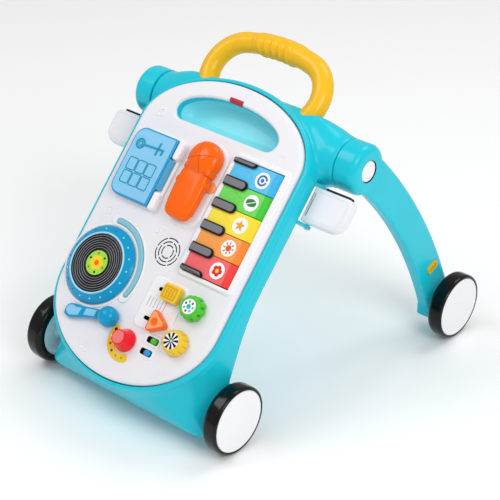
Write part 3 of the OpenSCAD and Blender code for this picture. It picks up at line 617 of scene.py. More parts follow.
def build_panel():
    outline = panel_line(0.4, 1)
    crown = [(3.2, -13.0), (0, -12.6), (0, -6.0), (0.3, -3.9), (1.1, -2.3), (2.4, -1.1),
             (4.2, -0.4), (6.5, 0)]
    panel = raw("activity_panel", [tier(outline, crown, WHITE)])
    cuts = [tier(opening_line(3), [(0, -20), (0, 5)], WHITE),
            tier(rounded(42.2, 34.5, 116.3, 187.5, 1), [(0, -20), (0, 5)], WHITE)]
    # Slider slots, switch windows and speaker holes are lined with painted shade.
    for p in (SQUARE, TRIANGLE):
        line = capsule((p[0] - SLIDE_TRAVEL, p[1]), p, SLOT_HALF)
        cuts += [tier(line, [(0, -9), (0, 5)], RECESS_SHADE)]
    for p in SWITCHES.values():
        cuts += [tier(box_line(p, 9, 4, 2.6), [(0, -5), (0, 5)], RECESS_SHADE)]
    for r, count in ((17.4, 6), (12.8, 5), (8.2, 4)):
        for k in range(count):
            a0 = 360 * k / count + 7 * r
            line = band(*SPEAKER, r - 0.75, r + 0.75, a0, a0 + 360 / count - 190 / r, 12)
            cuts += [tier(line, [(0, -3), (0, 5)], RECESS_SHADE)]
    for cut in cuts:
        carve(panel, [cut])
    settle(panel, "root", ["panel_shell", "speaker_grille"], 30)
    edge = [(-3.1, -5)] + [(-3.1 + 3.1 * sin(t), -3.1 + 3.1 * cos(t)) for t in quarter(8, 0)]
    edge.append((0, -5))
    lip = tier(opening_line(0), edge, WHITE, wrap=True)
    raised = [(0, -4), (0, 3.2), (-0.6, 3.9), (-1.4, 4.2), (-3.6, 4.2), (-5.0, 3.4), (-5.8, 1.8), (-6.6, 0.5),
              (-7.8, -0.3)]
    surround = tier(rounded(42.4, 34.7, 116.1, 187.3, 1), raised, TRIM, caps=False)
    trim = [lip, surround]
    trim += [plate(rounded(35.6, 34, 42.3, 188, 2), -0.2, 4.6, 1.6, TRIM)]
    for args in ((-37, -99, 0.95, -0.15), (-102, 66, 0.8, 0.3), (-14, 68, 0.9, -0.25), (-99, 206, 0.8, 0.2)):
        trim += note(*args)
    swirl = [polar((100, 206), 2 + 0.8 * i, 0.62 * i) for i in range(9)]
    for p, q in zip(swirl, swirl[1:]):
        trim += [plate(capsule(p, q, 0.6, 5), -0.2, 0.4, 0.25, TRIM)]
    piece("panel_trim", "root", trim)


def build_red_tag():
    # (up the slope, out) of the folded tag's section
    fold = ((254.4, 0.15), (254.4, 0.6), (251.5, 0.75), (249.6, -0.1), (248.4, -1.7), (248.2, -5.0),
            (248.9, -5.0), (249.1, -1.9), (250.1, -0.6), (251.5, 0.15))
    rings = [[at(PANEL, u, v, h) for v, h in fold] for u in (-11.5, -5, 3, 9.5)]
    piece("red_tag_piece", "root", [loft(rings, TAG)], ["red_tag"])


# ---------- piano ----------
KEY_U0, KEY_U1, KEY_V0, KEY_PITCH, KEY_TOP = 43, 115.5, 35.5, 30.2, 4.5


def motif(kind, u, v, h, mat):
    """A small generic printed picture inside a round sticker."""
    def flat(line, lift, m):
        return tier(line, [(0, h), (0, h + lift)], m)
    parts = []
    if kind == "sun":
        parts += [flat(circle(u, v, 4.0, 24), 0.14, mat)]
        for k in range(8):
            t = pi * k / 4
            parts += [flat(capsule(polar((u, v), 5.4, t), polar((u, v), 7.4, t), 0.8, 4), 0.14, mat)]
    elif kind == "leaf":
        blade = arc(u, v, 7.4, -35, 125, 12, 5.2) + arc(u - 0.5, v + 0.5, 7.4, 145, 305, 12, 5.2)
        parts += [flat(blade, 0.14, mat)]
        parts += [flat(capsule((u - 6, v - 3), (u + 5, v + 3), 0.5, 4), 0.2, INK_WHITE)]
    elif kind == "star":
        line = [polar((u, v), 3.3 if k % 2 else 7.6, pi * (0.5 + k / 5)) for k in range(10)]
        parts += [flat(line, 0.14, mat)]
    elif kind == "flower":
        for k in range(5):
            t = 2 * pi * k / 5
            parts += [flat(circle(*polar((u, v), 4.2, t), 3.1, 16), 0.12 + 0.005 * k, mat)]
        parts += [flat(circle(u, v, 2.6, 16), 0.22, INK_YELLOW)]
    else:
        parts += [flat(band(u, v, 4.6, 7.2, 20, 340, 30), 0.14, mat)]
        parts += [flat(circle(u, v, 2.6, 20), 0.14, mat)]
    return parts


def build_piano():
    kinds = ("flower", "sun", "star", "leaf", "rings")
    lip_u = KEY_U1 - 10.5
    for i, (name, mats) in enumerate(KEY_MATS.items()):
        v0 = KEY_V0 + KEY_PITCH * i + 0.35
        v1 = v0 + KEY_PITCH - 0.7
        top, lip, ink = mats
        line = rounded(KEY_U0, v0, lip_u + 0.05, v1, 0.5, 3)
        # The top face takes the paler colour: painted light on the key's plastic.
        parts = [tier(line, [(0, -10.5), (0, KEY_TOP - 0.7), (0.2, KEY_TOP - 0.2), (0.7, KEY_TOP)], top)]
        end = [(lip_u, -10.5), (lip_u, KEY_TOP), (lip_u + 6.5, KEY_TOP - 0.1), (lip_u + 9.3, KEY_TOP - 0.7),
               (lip_u + 10.3, KEY_TOP - 1.9), (lip_u + 10.5, KEY_TOP - 3.4), (lip_u + 10.5, -10.5)]
        rings = [[at(PANEL, u, v, h - drop if h > 0 else h) for u, h in end]
                 for v, drop in ((v0, 0.5), (v0 + 0.5, 0), (v1 - 0.5, 0), (v1, 0.5))]
        parts += [loft(rings, lip)]
        cu, cv = KEY_U0 + 48, (v0 + v1) / 2
        parts += [plate(circle(cu, cv, 11.2), KEY_TOP - 0.1, KEY_TOP + 0.16, 0.1, lip)]
        parts += [plate(circle(cu, cv, 10.6), KEY_TOP, KEY_TOP + 0.24, 0.1, INK_WHITE)]
        parts += motif(kinds[i], cu, cv, KEY_TOP + 0.2, ink)
        piece(f"piano_key_{name}", f"key_{name}", parts, [f"key_{name}"])
    parts = [tier(rounded(36.6, 35, 42.2, 187, 0.5), [(0, 0), (0, 4.0)], TRIM)]
    for i in range(6):
        v = KEY_V0 + KEY_PITCH * i
        lo, hi = v - 6.5, v + 6.5
        radii = (6.3, 0.3, 0.3, 6.3)
        if i == 0:
            lo, radii = v, (6.3, 0.3, 0.3, 0.3)
        if i == 5:
            hi, radii = v, (0.3, 0.3, 0.3, 6.3)
        line = rounded(41.5, lo, 76, hi, radii)
        parts += [plate(line, 5.3, 8.4, 1.2, SHARP_EDGE)]
        low_in, high_in = (0.5 if i == 0 else 2.0), (0.5 if i == 5 else 2.0)
        face = rounded(41.5, lo + low_in, 74, hi - high_in, tuple(max(0.3, r - 2) for r in radii))
        parts += [plate(face, 8.2, 9.3, 0.8, SHARP)]
        shelf = rounded(40.4, lo + 0.3, 42.2, hi - 0.3, 0.2)
        parts += [tier(shelf, [(0, 3.5), (0, 6.5)], SHARP_EDGE)]
    piece("piano_sharps", "root", parts, ["key_sharps"])


# ---------- turntable ----------
def build_turntable():
    profile = [(3, 0.8), (47, 0.8), (51.0, 0.9), (51.5, 1.6), (51.3, 2.8), (50.4, 3.9)]
    profile += [(50.4 - 10.6 * s, 3.9 + 6.6 * s ** 0.92) for s in (0.25, 0.5, 0.75, 0.9)]
    profile += [(39.6, 10.6), (38.9, 10.7), (38.4, 10.3), (38.2, 8.6), (3, 8.4)]
    parts = [turned(DISC, profile, RING, 96)]
    # Pale band over the rim's rounded top lip: painted highlight.
    lip_highlight = [(40.7, 10.0), (40.2, 10.9), (39.4, 11.1), (38.8, 11.0), (38.3, 10.4)]
    parts += [turned(DISC, lip_highlight, RING_LIT, 96, wrap=True)]
    for k in range(18):
        t = 2 * pi * k / 18 + 0.12
        p = polar(DISC, 45.6, t)
        # Dots on the right-hand side, towards the strongest lamp, and a few others take painted light; the rest
        # take painted shade.
        lit_side = cos(t + 0.15) > 0.05 or 3 * k % 5 == 0
        dot = [(1.25, 5.6), (1.2, 7.2), (0.8, 7.6), (0.3, 7.75)]
        parts += [turned(p, dot, RING_LIT if lit_side else RING_SHADE, 12)]
    piece("turntable_rim", "turntable", parts, ["turntable_ring", "turntable_spindle"])
    groove = [(2, 8.5), (38, 8.5), (38.1, 9.6), (37.4, 10.0), (35.4, 10.0)]
    r = 35.4
    while r > 17.6:
        groove += [(r - 0.5, 9.55), (r - 1.1, 9.35), (r - 1.7, 9.5), (r - 2.2, 9.95), (r - 2.5, 9.98)]
        r -= 2.5
    groove += [(16.6, 9.9), (16.4, 9.6), (2, 9.6)]
    disc = [turned(DISC, groove, RECORD, 96)]
    # Thin light grey rings over the grooves: painted highlights.
    for k in range(6):
        r = 19.6 + 3.15 * k
        ridge = [(r, 9.6), (r + 0.1, 10.15), (r + 0.35, 10.25), (r + 0.6, 10.15), (r + 0.7, 9.6)]
        disc += [turned(DISC, ridge, GROOVE_SHEEN, 96, wrap=True)]
    piece("vinyl_record", "turntable", disc, ["record_disc"])
    h = 10.1
    parts = [turned(DISC, [(16.2, 9.4), (16.2, h - 0.3), (15.9, h), (1, h + 0.15)], LABEL, 64)]
    for k in range(6):
        t = pi * k / 3 + 0.3
        p = polar(DISC, 5.9, t)
        parts += [tier(circle(*p, 4.1, 20), [(0, h), (0, h + 0.22 + 0.005 * k)], INK_YELLOW)]
        q = polar(DISC, 12.4, t + 0.5)
        ink = INK_RED if k % 2 else INK_BLACK
        parts += [tier(circle(*q, 1.5, 14), [(0, h), (0, h + 0.2)], ink)]
    parts += [tier(circle(*DISC, 3.4, 20), [(0, h), (0, h + 0.4)], ORANGE)]
    piece("record_label_print", "turntable", parts, ["record_label"])
    base = band(*DISC, 53.2, 66.6, -24, 99, 48)
    bed = [plate(base, -0.3, 1.7, 1.1, TRIM)]
    ring = [(55.6, -0.4), (55.4, 0.7), (54.6, 1.1), (53.2, 1.2), (52.6, 0.9), (52.4, -0.4)]
    bed += [turned(DISC, ring, TRIM, 96, wrap=True)]
    piece("turntable_surround", "root", bed)
    lens = band(*DISC, 56.6, 63.6, -19, 94, 48)
    parts = [plate(inset(lens, -0.5), 1.2, 2.3, 0.3, LENS_EDGE), plate(lens, 1.5, 3.6, 1.5, LENS)]
    for k in range(24):
        t = radians(-14 + 4.4 * k)
        rib = capsule(polar(DISC, 58.6, t), polar(DISC, 61.6, t), 0.35, 3)
        parts += [plate(rib, 3.4, 3.75, 0.1, LENS)]
    piece("light_lens_piece", "root", parts, ["light_window"])


def build_tonearm():
    u, v = -20.5, -56
    parts = []
    r, c = 13.3, 8.0
    ball = [(9.0, 0.8), (11.0, 0.9)]
    ball += [(r * cos(t), c + r * sin(t)) for t in [-0.5 + (pi / 2 + 0.5) * i / 16 for i in range(16)]]
    ball.append((0.4, c + r))
    parts += [turned((u, v), ball, RING, 48)]
    parts += [stem((u, v), RING)]
    rings = []
    # (distance to the left, centre along the slope, half width, top height)
    stops = ((6, -1, 6, 8.5), (16, -2.5, 6.4, 8.6), (26, -4.5, 6.6, 8.6), (34, -6.5, 6.8, 8.4),
             (40, -8.6, 7.4, 8.2), (48, -10.6, 8.7, 7.8), (56, -12.3, 9.4, 7.2), (63, -13.2, 8.6, 6.6),
             (67, -13.6, 6.4, 6.0), (68.3, -13.7, 4.0, 5.4))
    for d, cv, half, top in stops:
        tall = (top - 2) / 2
        line = section(16, half, tall, 0.55, 0.55)
        rings.append([at(PANEL, u - d, v + cv + a, 2 + tall + b) for a, b in line])
    parts += [loft(rings, RING)]
    pad = arc(u - 57, v - 12.4, 8.6, 60, 300, 16, 7.2) + [(u - 44, v - 15.3), (u - 42, v - 3.9)]
    parts += [plate(inset(pad, 0.6), 6.8, 8.5, 0.6, FLAP_LIGHT)]
    strip = [(u - 20, v - 7.4), (u - 20, v + 1.0), (u - 36, v - 2.7), (u - 36, v - 11.4)]
    parts += [plate(strip, 8.0, 9.0, 0.3, FLAP_LIGHT)]
    piece("tonearm_lever", "tonearm", parts, ["tonearm"])


# ---------- flap ----------
# (across, out) of the flap's hinge rod
FLAP_HINGE = (-108.5, 7.6)


def build_flap():
    u0, u1, v0, v1 = -111.8, -45.5, 86, 178.5
    base = [plate(rounded(-106, 84, -40.5, 180.5, (4, 14, 14, 4)), -0.2, 4.0, 1.4, TRIM)]
    for lo, hi, radii in ((153.6, 180.3, (6, 3, 3, 4)), (84.2, 108.6, (4, 3, 3, 6))):
        base += [plate(rounded(-44.7, lo, -34.8, hi, radii), 0, 10.2, 2.9, TRIM)]
    base += [plate(rounded(-44, 106, -34.6, 156, 2), -0.1, 3.2, 1.6, TRIM)]
    axis_u, axis_h = FLAP_HINGE
    for v in (98, 158.5):
        lug = arc(axis_u, axis_h, 3.3, 0, 180, 10) + [(axis_u - 3.3, 3), (axis_u + 3.3, 3)]
        base += [bar(lug, (v, v + 8), TRIM)]
    piece("flap_bed", "root", base, ["flap_base"])
    door = rounded(u0, v0, u1, v1, (3, 15, 15, 3), 8)
    parts = [tier(door, [(0.6, 4.7), (0, 5.3), (0, 9.9), (0.5, 10.8), (1.5, 11.4), (2.2, 11.5)], FLAP)]
    parts += [plate(inset(door, 2.4), 11.3, 11.9, 0.4, FLAP_LIGHT)]
    tab = [(u1 - 1, 9.9), (u1 + 1.2, 10.0), (u1 + 5.4, 5.6), (u1 + 6.4, 4.3), (u1 + 4.5, 4.2), (u1 - 1, 5.2)]
    parts += [bar(tab, (111, 112, 151, 152), RING)]
    for k in range(9):
        w = 114.5 + 4.4 * k
        rib = [(u1 + 1.0, 10.3), (u1 + 1.7, 10.2), (u1 + 5.9, 5.7), (u1 + 5.2, 5.4)]
        parts += [bar(rib, (w, w + 1.2), RING)]
    cell = 14.6
    for i in range(3):
        for j in range(2):
            a, b = -101.5 + 15.4 * i, 102 + 18.2 * j
            tile = rounded(a, b, a + cell, b + cell + 2.6, 2.2)
            ridge = [(0, 11.7), (0, 12.3), (0.5, 12.6), (1.1, 12.3), (1.2, 11.7)]
            parts += [tier(tile, ridge, FLAP_LINE, wrap=True)]
            parts += [plate(inset(tile, 1.2), 11.8, 12.2, 0.3, FLAP_LIGHT)]
    icon = [(4.4, 11.7), (4.5, 12.5), (5.2, 12.8), (6.6, 12.8), (7.2, 12.5), (7.3, 11.7)]
    parts += [turned((-96.5, 156.5), icon, FLAP_LINE, 36, wrap=True)]
    inner = [(2.1, 11.7), (2.2, 12.4), (2.8, 12.6), (3.3, 12.4), (3.4, 11.7)]
    parts += [turned((-96.5, 156.5), inner, FLAP_LINE, 30, wrap=True)]
    bars = ((-89.4, 156.5, -60, 158), (-67.4, 150, -66.4, 165.5), (-59.5, 152.2, -58.6, 158.0))
    for a0, b0, a1, b1 in bars:
        parts += [plate(capsule((a0, b0), (a1, b1), 1.3), 11.7, 12.8, 0.5, FLAP_LINE)]
    piece("flap_door_piece", "flap", parts, ["flap_door"])


# ---------- microphone lever ----------
def build_microphone():
    bed = rounded(-24, 81, 33, 193, (27, 27, 22, 22), 10)
    steps = [(0, -0.2), (0.4, 0.8), (1.5, 1.7), (3.2, 2.3), (5, 2.6)]
    parts = [tier(bed, steps, TRIM)]
    parts += [plate(rounded(19, 131.5, 32.5, 147, 6), 0, 3.8, 1.4, ORANGE_PALE)]
    piece("microphone_bed", "root", parts, ["mic_cradle"])
    rings = []
    # (v, left, right, bottom, top)
    stops = ((87.2, -6, 15, 9.0, 13.5), (88.5, -10, 19, 8.0, 15.6), (91, -13.5, 22, 7.4, 17.4),
             (95.5, -15.6, 23.6, 7.3, 18.6), (97, -16, 24, 4.6, 19.0), (104, -17, 25, 4.5, 19.8),
             (120, -17.8, 25.8, 4.5, 20.4), (136, -17.8, 25.8, 4.5, 20.8), (147, -16.4, 24.6, 4.5, 20.8),
             (149.2, -15, 23.4, 4.8, 20.2))
    for v, left, right, low, top in stops:
        mid, half, deep = (left + right) / 2, (right - left) / 2, top - low
        line = section(40, half, deep / 2, 0.62, 0.75, 0.35)
        rings.append([at(PANEL, mid + a, v, low + deep / 2 + b) for a, b in line])
    parts = [loft(rings, ORANGE)]
    shoulder = [(2.0, 6), (7.5, 6.2), (8.2, 8), (8.0, 13), (6.6, 16.4), (4, 18), (0.5, 18.5)]
    parts += [turned((-12, 134), shoulder, ORANGE, 32)]
    parts += [turned((20.4, 137), [(r * 0.94, h - 0.5) for r, h in shoulder], ORANGE, 32)]
    cu, cv = 6.5, 167.5
    collar = [(4, 4.6), (20.5, 4.6), (22.6, 5.6), (23.3, 8), (23.2, 14.4), (22.7, 15.2)]
    parts += [turned((cu, cv), collar + [(22.0, 15.3), (4, 15.6)], ORANGE, 64)]
    dome = [(22.0, 14.6), (22.9, 15.6)]
    dome += [(22.9 * cos(t), 15.6 + 12.0 * sin(t)) for t in quarter(14)[:-1]]
    dome.append((0.5, 27.6))
    parts += [turned((cu, cv), dome, ORANGE, 64)]
    brim = rounded(cu - 20.5, 148.6, cu + 20.5, 160, (6, 6, 2.5, 2.5))
    parts += [plate(brim, 4.6, 21.6, 3.2, ORANGE, low=0.6)]
    for turn in (0.35, 0.35 + pi / 2):
        seam = []
        for i in range(25):
            t = -1.25 + 2.5 * i / 24
            r, h = 22.95 * sin(t), 15.6 + 12.06 * cos(t)
            seam.append((*polar((cu, cv), r, turn), h))
        parts += [thread(seam, 0.28, ORANGE_DARK)]
    piece("microphone_lever", "microphone", parts, ["mic_rocker"])


def build_rods():
    """Steel rods under the keys, in the flap and across the microphone lever."""
    rods = []
    for line, v0, v1 in ((circle(49, -6, 2, 20), 28.5, 193.5), (circle(*FLAP_HINGE, 1.5, 16), 98, 166.5)):
        rods += [bar(line, (v0, v1), STEEL)]
    rods += [loft([[at(PANEL, u, v, h) for v, h in circle(96, 11, 2, 20)] for u in (-13, 21)], STEEL)]
    piece("rods", "root", rods, ["hinge_rods"])


def thread(route, r, mat, n=8):
    """Thin raised line along a route of panel points."""
    points = [at(PANEL, *p) for p in route]
    rings = []
    for i, p in enumerate(points):
        way = (points[min(i + 1, len(points) - 1)] - points[max(i - 1, 0)]).normalized()
        side = way.cross(OUT)
        side = side.normalized() if side.length > 1e-4 else way.orthogonal().normalized()
        other = way.cross(side)
        rings.append([p + (side * cos(2 * pi * k / n) + other * sin(2 * pi * k / n)) * r * MM
                      for k in range(n)])
    return loft(rings, mat)


# ---------- sliders, knobs and switches ----------
def build_sliders():
    steps = [(0, -0.2), (0, 0.7), (0.4, 1.1), (1.2, 1.3)]
    plate_line = rounded(10, -50, 66, 17, 7)
    bed = raw("slider_bed", [tier(plate_line, steps, TRIM)])
    # The slots in the slider bed are lined with painted shade.
    for p in (SQUARE, TRIANGLE):
        slot = capsule((p[0] - SLIDE_TRAVEL, p[1]), p, SLOT_HALF)
        carve(bed, [tier(slot, [(0, -3), (0, 5)], RECESS_SHADE)])
    settle(bed, "root", ["slider_plate"])
    lines = []
    for k in range(6):
        u = 18 + 5.2 * k
        lines += [plate(capsule((u, -10), (u, -22.5), 0.35, 4), 1.2, 1.5, 0.1, INK_GREY)]
    piece("slider_marks", "root", lines)
    u, v = SQUARE
    block = box_line(SQUARE, 13, 11, 4.2)
    parts = [tier(block, soft_edge(2.1, 11.4, 1.8, low=0.5), SLIDER)]
    ridge = [(0, 11.2), (0, 12.0), (0.4, 12.3), (1.2, 12.3), (1.6, 12.0), (1.6, 11.2)]
    parts += [tier(inset(block, 3.2), ridge, SLIDER_LINE, wrap=True)]
    for k in (-1, 0, 1):
        rib = capsule((u + 4.4 * k, v - 4), (u + 4.4 * k, v + 4), 1.0)
        parts += [plate(rib, 11.2, 12.3, 0.5, SLIDER_LINE)]
    parts += [tier(box_line((u, v), 2.1, 2.1, 0.3), [(0, -7), (0, 3)], SLIDER)]
    piece("square_slider", "slider_square", parts, ["slider_square"])
    u, v = TRIANGLE
    line = []
    for k in range(3):
        c = radians(120 * k)
        line += arc(u + 10.6 * cos(c), v + 10.6 * sin(c), 4.6, 120 * k - 60, 120 * k + 60, 6)
    parts = [tier(line, soft_edge(2.1, 10.6, 1.6, low=0.5), ORANGE)]
    parts += [plate(inset(line, 2.0), 10.4, 11.2, 0.5, ORANGE_PALE)]
    button = [(4.9, 11), (4.9, 11.8), (4.4, 12.2), (3.2, 12.0), (2.4, 12.4), (1.2, 13.0), (0.2, 13.1)]
    parts += [turned((u, v), button, ORANGE, 32)]
    parts += [tier(box_line((u, v), 2.1, 2.1, 0.3), [(0, -7), (0, 3)], ORANGE)]
    piece("triangle_slider", "slider_triangle", parts, ["slider_triangle"])


def lobed(p, r, lobes, depth, n=96):
    turns = [2 * pi * k / n for k in range(n)]
    return [polar(p, r + depth * cos(lobes * t), t) for t in turns]


def stem(p, mat):
    """Shaft from a turning piece down into the panel."""
    return turned(p, [(3, -8), (3, 1)], mat, 24)


def build_knobs():
    p = GREEN_KNOB
    steps = [(0.6, 0.7), (0, 1.4), (0.2, 6), (0.9, 11), (1.5, 13.2), (2.3, 14.3), (3.6, 14.9)]
    parts = [tier(lobed(p, 15.6, 9, 0.75), steps, GREEN)]
    for k in range(9):
        t = 2 * pi * (k + 0.5) / 9
        c, s = cos(t), sin(t)
        centre = at(PANEL, p[0] + 14.35 * c, p[1] + 14.35 * s, 7.2)
        around = (centre, -X * s + SLOPE * c, OUT, X * c + SLOPE * s)
        oval = arc(0, 0, 2.1, 0, 360, 20, 3.2)[:-1]
        steps = [(0.2, -0.6), (0.2, 0.3), (0.7, 0.75), (1.4, 0.9)]
        parts += [tier(oval, steps, GREEN_DARK, f=around)]
    parts += [turned(p, [(9.6, 14.6), (9.6, 15.2), (9.3, 15.4), (0.5, 15.4)], INK_WHITE, 48)]
    for k in range(7):
        t = 2 * pi * k / 7
        q = polar(p, 6.2, t)
        ink = INK_PURPLE if k % 2 else INK_TEAL
        parts += [tier(circle(*q, 1.5, 14), [(0, 15.2), (0, 15.55)], ink)]
    parts += [tier(circle(*p, 3.1, 20), [(0, 15.2), (0, 15.55)], INK_TEAL)]
    parts += [stem(p, GREEN)]
    piece("green_knob_piece", "knob_green", parts, ["knob_green"])
    p = YELLOW_KNOB
    profile = [(14.8, 0.7), (15.9, 1.2), (16, 3), (15.4, 8), (14.4, 12.4), (13.7, 14), (12.8, 14.7),
               (11.6, 15), (0.5, 15)]
    parts = [turned(p, profile, SLIDER, 72)]
    for k in range(12):
        t = 2 * pi * k / 12
        c, s = cos(t), sin(t)
        centre = at(PANEL, p[0] + 15.2 * c, p[1] + 15.2 * s, 7)
        away = X * c + SLOPE * s
        around = (centre, -X * s + SLOPE * c, OUT - away * 0.14, away)
        rib = capsule((0, -4), (0, 3.4), 0.9, 5)
        parts += [tier(rib, [(0.2, -0.8), (0.1, 0.35), (0.5, 0.6)], SLIDER_LINE, f=around)]
    parts += [turned(p, [(10.6, 14.8), (10.6, 15.2), (0.5, 15.25)], INK_WHITE, 54)]
    for k in range(9):
        a0 = 40 * k + 6
        ray = arc(*p, 10.3, a0, a0 + 20, 5) + arc(*p, 1.2, a0 + 26, a0 + 2, 2)
        parts += [tier(ray, [(0, 15.1), (0, 15.5)], INK_BLACK)]
    parts += [stem(p, SLIDER)]
    piece("yellow_knob_piece", "knob_yellow", parts, ["knob_yellow"])
    p = DIAL
    profile = [(13.6, 0.7), (14.5, 1.3), (14.5, 3.2), (14.1, 4.6), (13.0, 6), (12.2, 8), (11.0, 13), (10.2, 17),
               (9.8, 18.6), (9.2, 19.3), (8.6, 19.4), (8.2, 18.9), (0.5, 18.8)]
    parts = [turned(p, profile, RED, 72)]
    inlay = [(8.1, 18.6), (8.1, 19.1), (7.7, 19.3), (5.2, 19.3), (4.9, 19.0), (4.6, 19.0), (4.3, 19.4),
             (0.5, 19.5)]
    parts += [turned(p, inlay, PINK, 48)]
    parts += [stem(p, RED)]
    piece("red_dial_piece", "dial_red", parts, ["dial_red"])
    crescent = band(*p, 17.0, 27.0, 158, 293, 36)
    parts = [plate(crescent, -0.1, 1.4, 0.5, SLIDER)]
    for k, ink in enumerate((INK_BLACK, INK_WHITE, INK_RED, INK_PURPLE, INK_TEAL, GREEN)):
        t = radians(160 + 25 * k)
        q = polar(p, 22, t)
        parts += [plate(circle(*q, 2.2 - 0.12 * k, 16), 1.2, 1.6, 0.1, ink)]
    piece("dial_scale", "root", parts, ["dial_plate"])


def build_switches():
    # The second colour of each look is a darker copy of the toggle's own colour, used as painted shade beside
    # the toggle.
    looks = {"green": (GREEN, GREEN_DARK, "knob_green"), "blue": (SWITCH_BLUE, RING_SHADE, "blue_clear")}
    bezels = []
    for name, p in SWITCHES.items():
        outer = box_line(p, 12.5, 7, 4.5)
        frame_steps = [(0, -0.2), (0, 0.6), (0.5, 1.0), (2.2, 1.1), (2.9, 0.7), (3.1, -2)]
        bezels += [tier(outer, frame_steps, TRIM, caps=False)]
        ink, shaded_tone, slot = looks[name]
        u = p[0] + 3
        parts = [plate(box_line((u, p[1]), 4.5, 3.4, 3.2), -4.5, 3.6, 1.6, ink)]
        parts += [turned((u, p[1]), [(1.9, 3.4), (1.8, 4.0), (1.0, 4.3), (0.2, 4.35)], ink, 20)]
        # Thin plate of the darker colour beside the toggle, down in the window: painted shade.
        parts += [plate(rounded(u - 5.0, p[1] - 2.2, u - 3.4, p[1] + 2.2, 0.7), -4.5, -0.6, 0.3, shaded_tone)]
        piece(f"{name}_switch_piece", f"switch_{name}", parts, [f"switch_{name}"])
    piece("switch_bezels", "root", bezels)


# ---------- handle ----------
def build_handle():
    half, top, r, corner, drop, depth = 87.0, 341.0, 13.5, 45.0, 5.0, -34.0
    cu, cv = half - corner, top - corner - drop
    flat_r = (cu ** 2 + (corner + drop) ** 2 - corner ** 2) / (2 * drop)
    flat_v = top - flat_r
    join = degrees(atan2(cv - flat_v, cu))
    path = arc(cu, cv, corner, -20, join, 34) + arc(0, flat_v, flat_r, join, 180 - join, 90)[1:-1]
    path += arc(-cu, cv, corner, 180 - join, 200, 34)
    start = Vector(path[0]) - (Vector(path[1]) - Vector(path[0])).normalized() * 11
    path = [tuple(start)] + path + [(-start.x, start.y)]
    rings = []
    around = 40
    for i, (u, v) in enumerate(path):
        a, b = path[max(i - 1, 0)], path[min(i + 1, len(path) - 1)]
        way = Vector((b[0] - a[0], b[1] - a[1])).normalized()
        out = Vector((way.y, -way.x))
        ring = []
        for k in range(around):
            t = 2 * pi * k / around
            inner = max(0.0, cos(t - radians(150)))
            s = u + 7 * sin(t)
            grip = 1 / (1 + exp((abs(s) - 31) * 1.6)) if v > cv else 0.0
            wave = max(0.0, cos(2 * pi * s / 11.5)) ** 1.5
            grow = grip * (1.1 + 1.5 * wave * min(1.0, 1.6 * inner))
            q = Vector((u, v)) + out * (r + grow) * cos(t)
            ring.append(at(PANEL, q.x, q.y, depth + (r + grow) * sin(t)))
        rings.append(ring)
    parts = [loft(rings, YELLOW)]
    piece("push_handle_piece", "root", parts, ["push_handle"], 60)


# ---------- legs, wheels and locks ----------
LEG_IN, LEG_OUT = 163.0, 182.0
BOW = 17.0


def leg_route(n):
    """Points of the leg's middle line in side view, from the hinge to the wheel, with its outward normals."""
    dy, dz = REAR_AXLE.y - HINGE.y, HINGE.z - REAR_AXLE.z
    chord = hypot(dy, dz)
    r = (chord ** 2 / 4 + BOW ** 2) / (2 * BOW)
    cy = (HINGE.y + REAR_AXLE.y) / 2 - (r - BOW) * dz / chord
    cz = (HINGE.z + REAR_AXLE.z) / 2 - (r - BOW) * dy / chord
    a0 = atan2(REAR_AXLE.z - cz, REAR_AXLE.y - cy)
    a1 = atan2(HINGE.z - cz, HINGE.y - cy)
    return [(cy + r * cos(t), cz + r * sin(t), t) for t in [a1 + (a0 - a1) * i / n for i in range(n + 1)]]


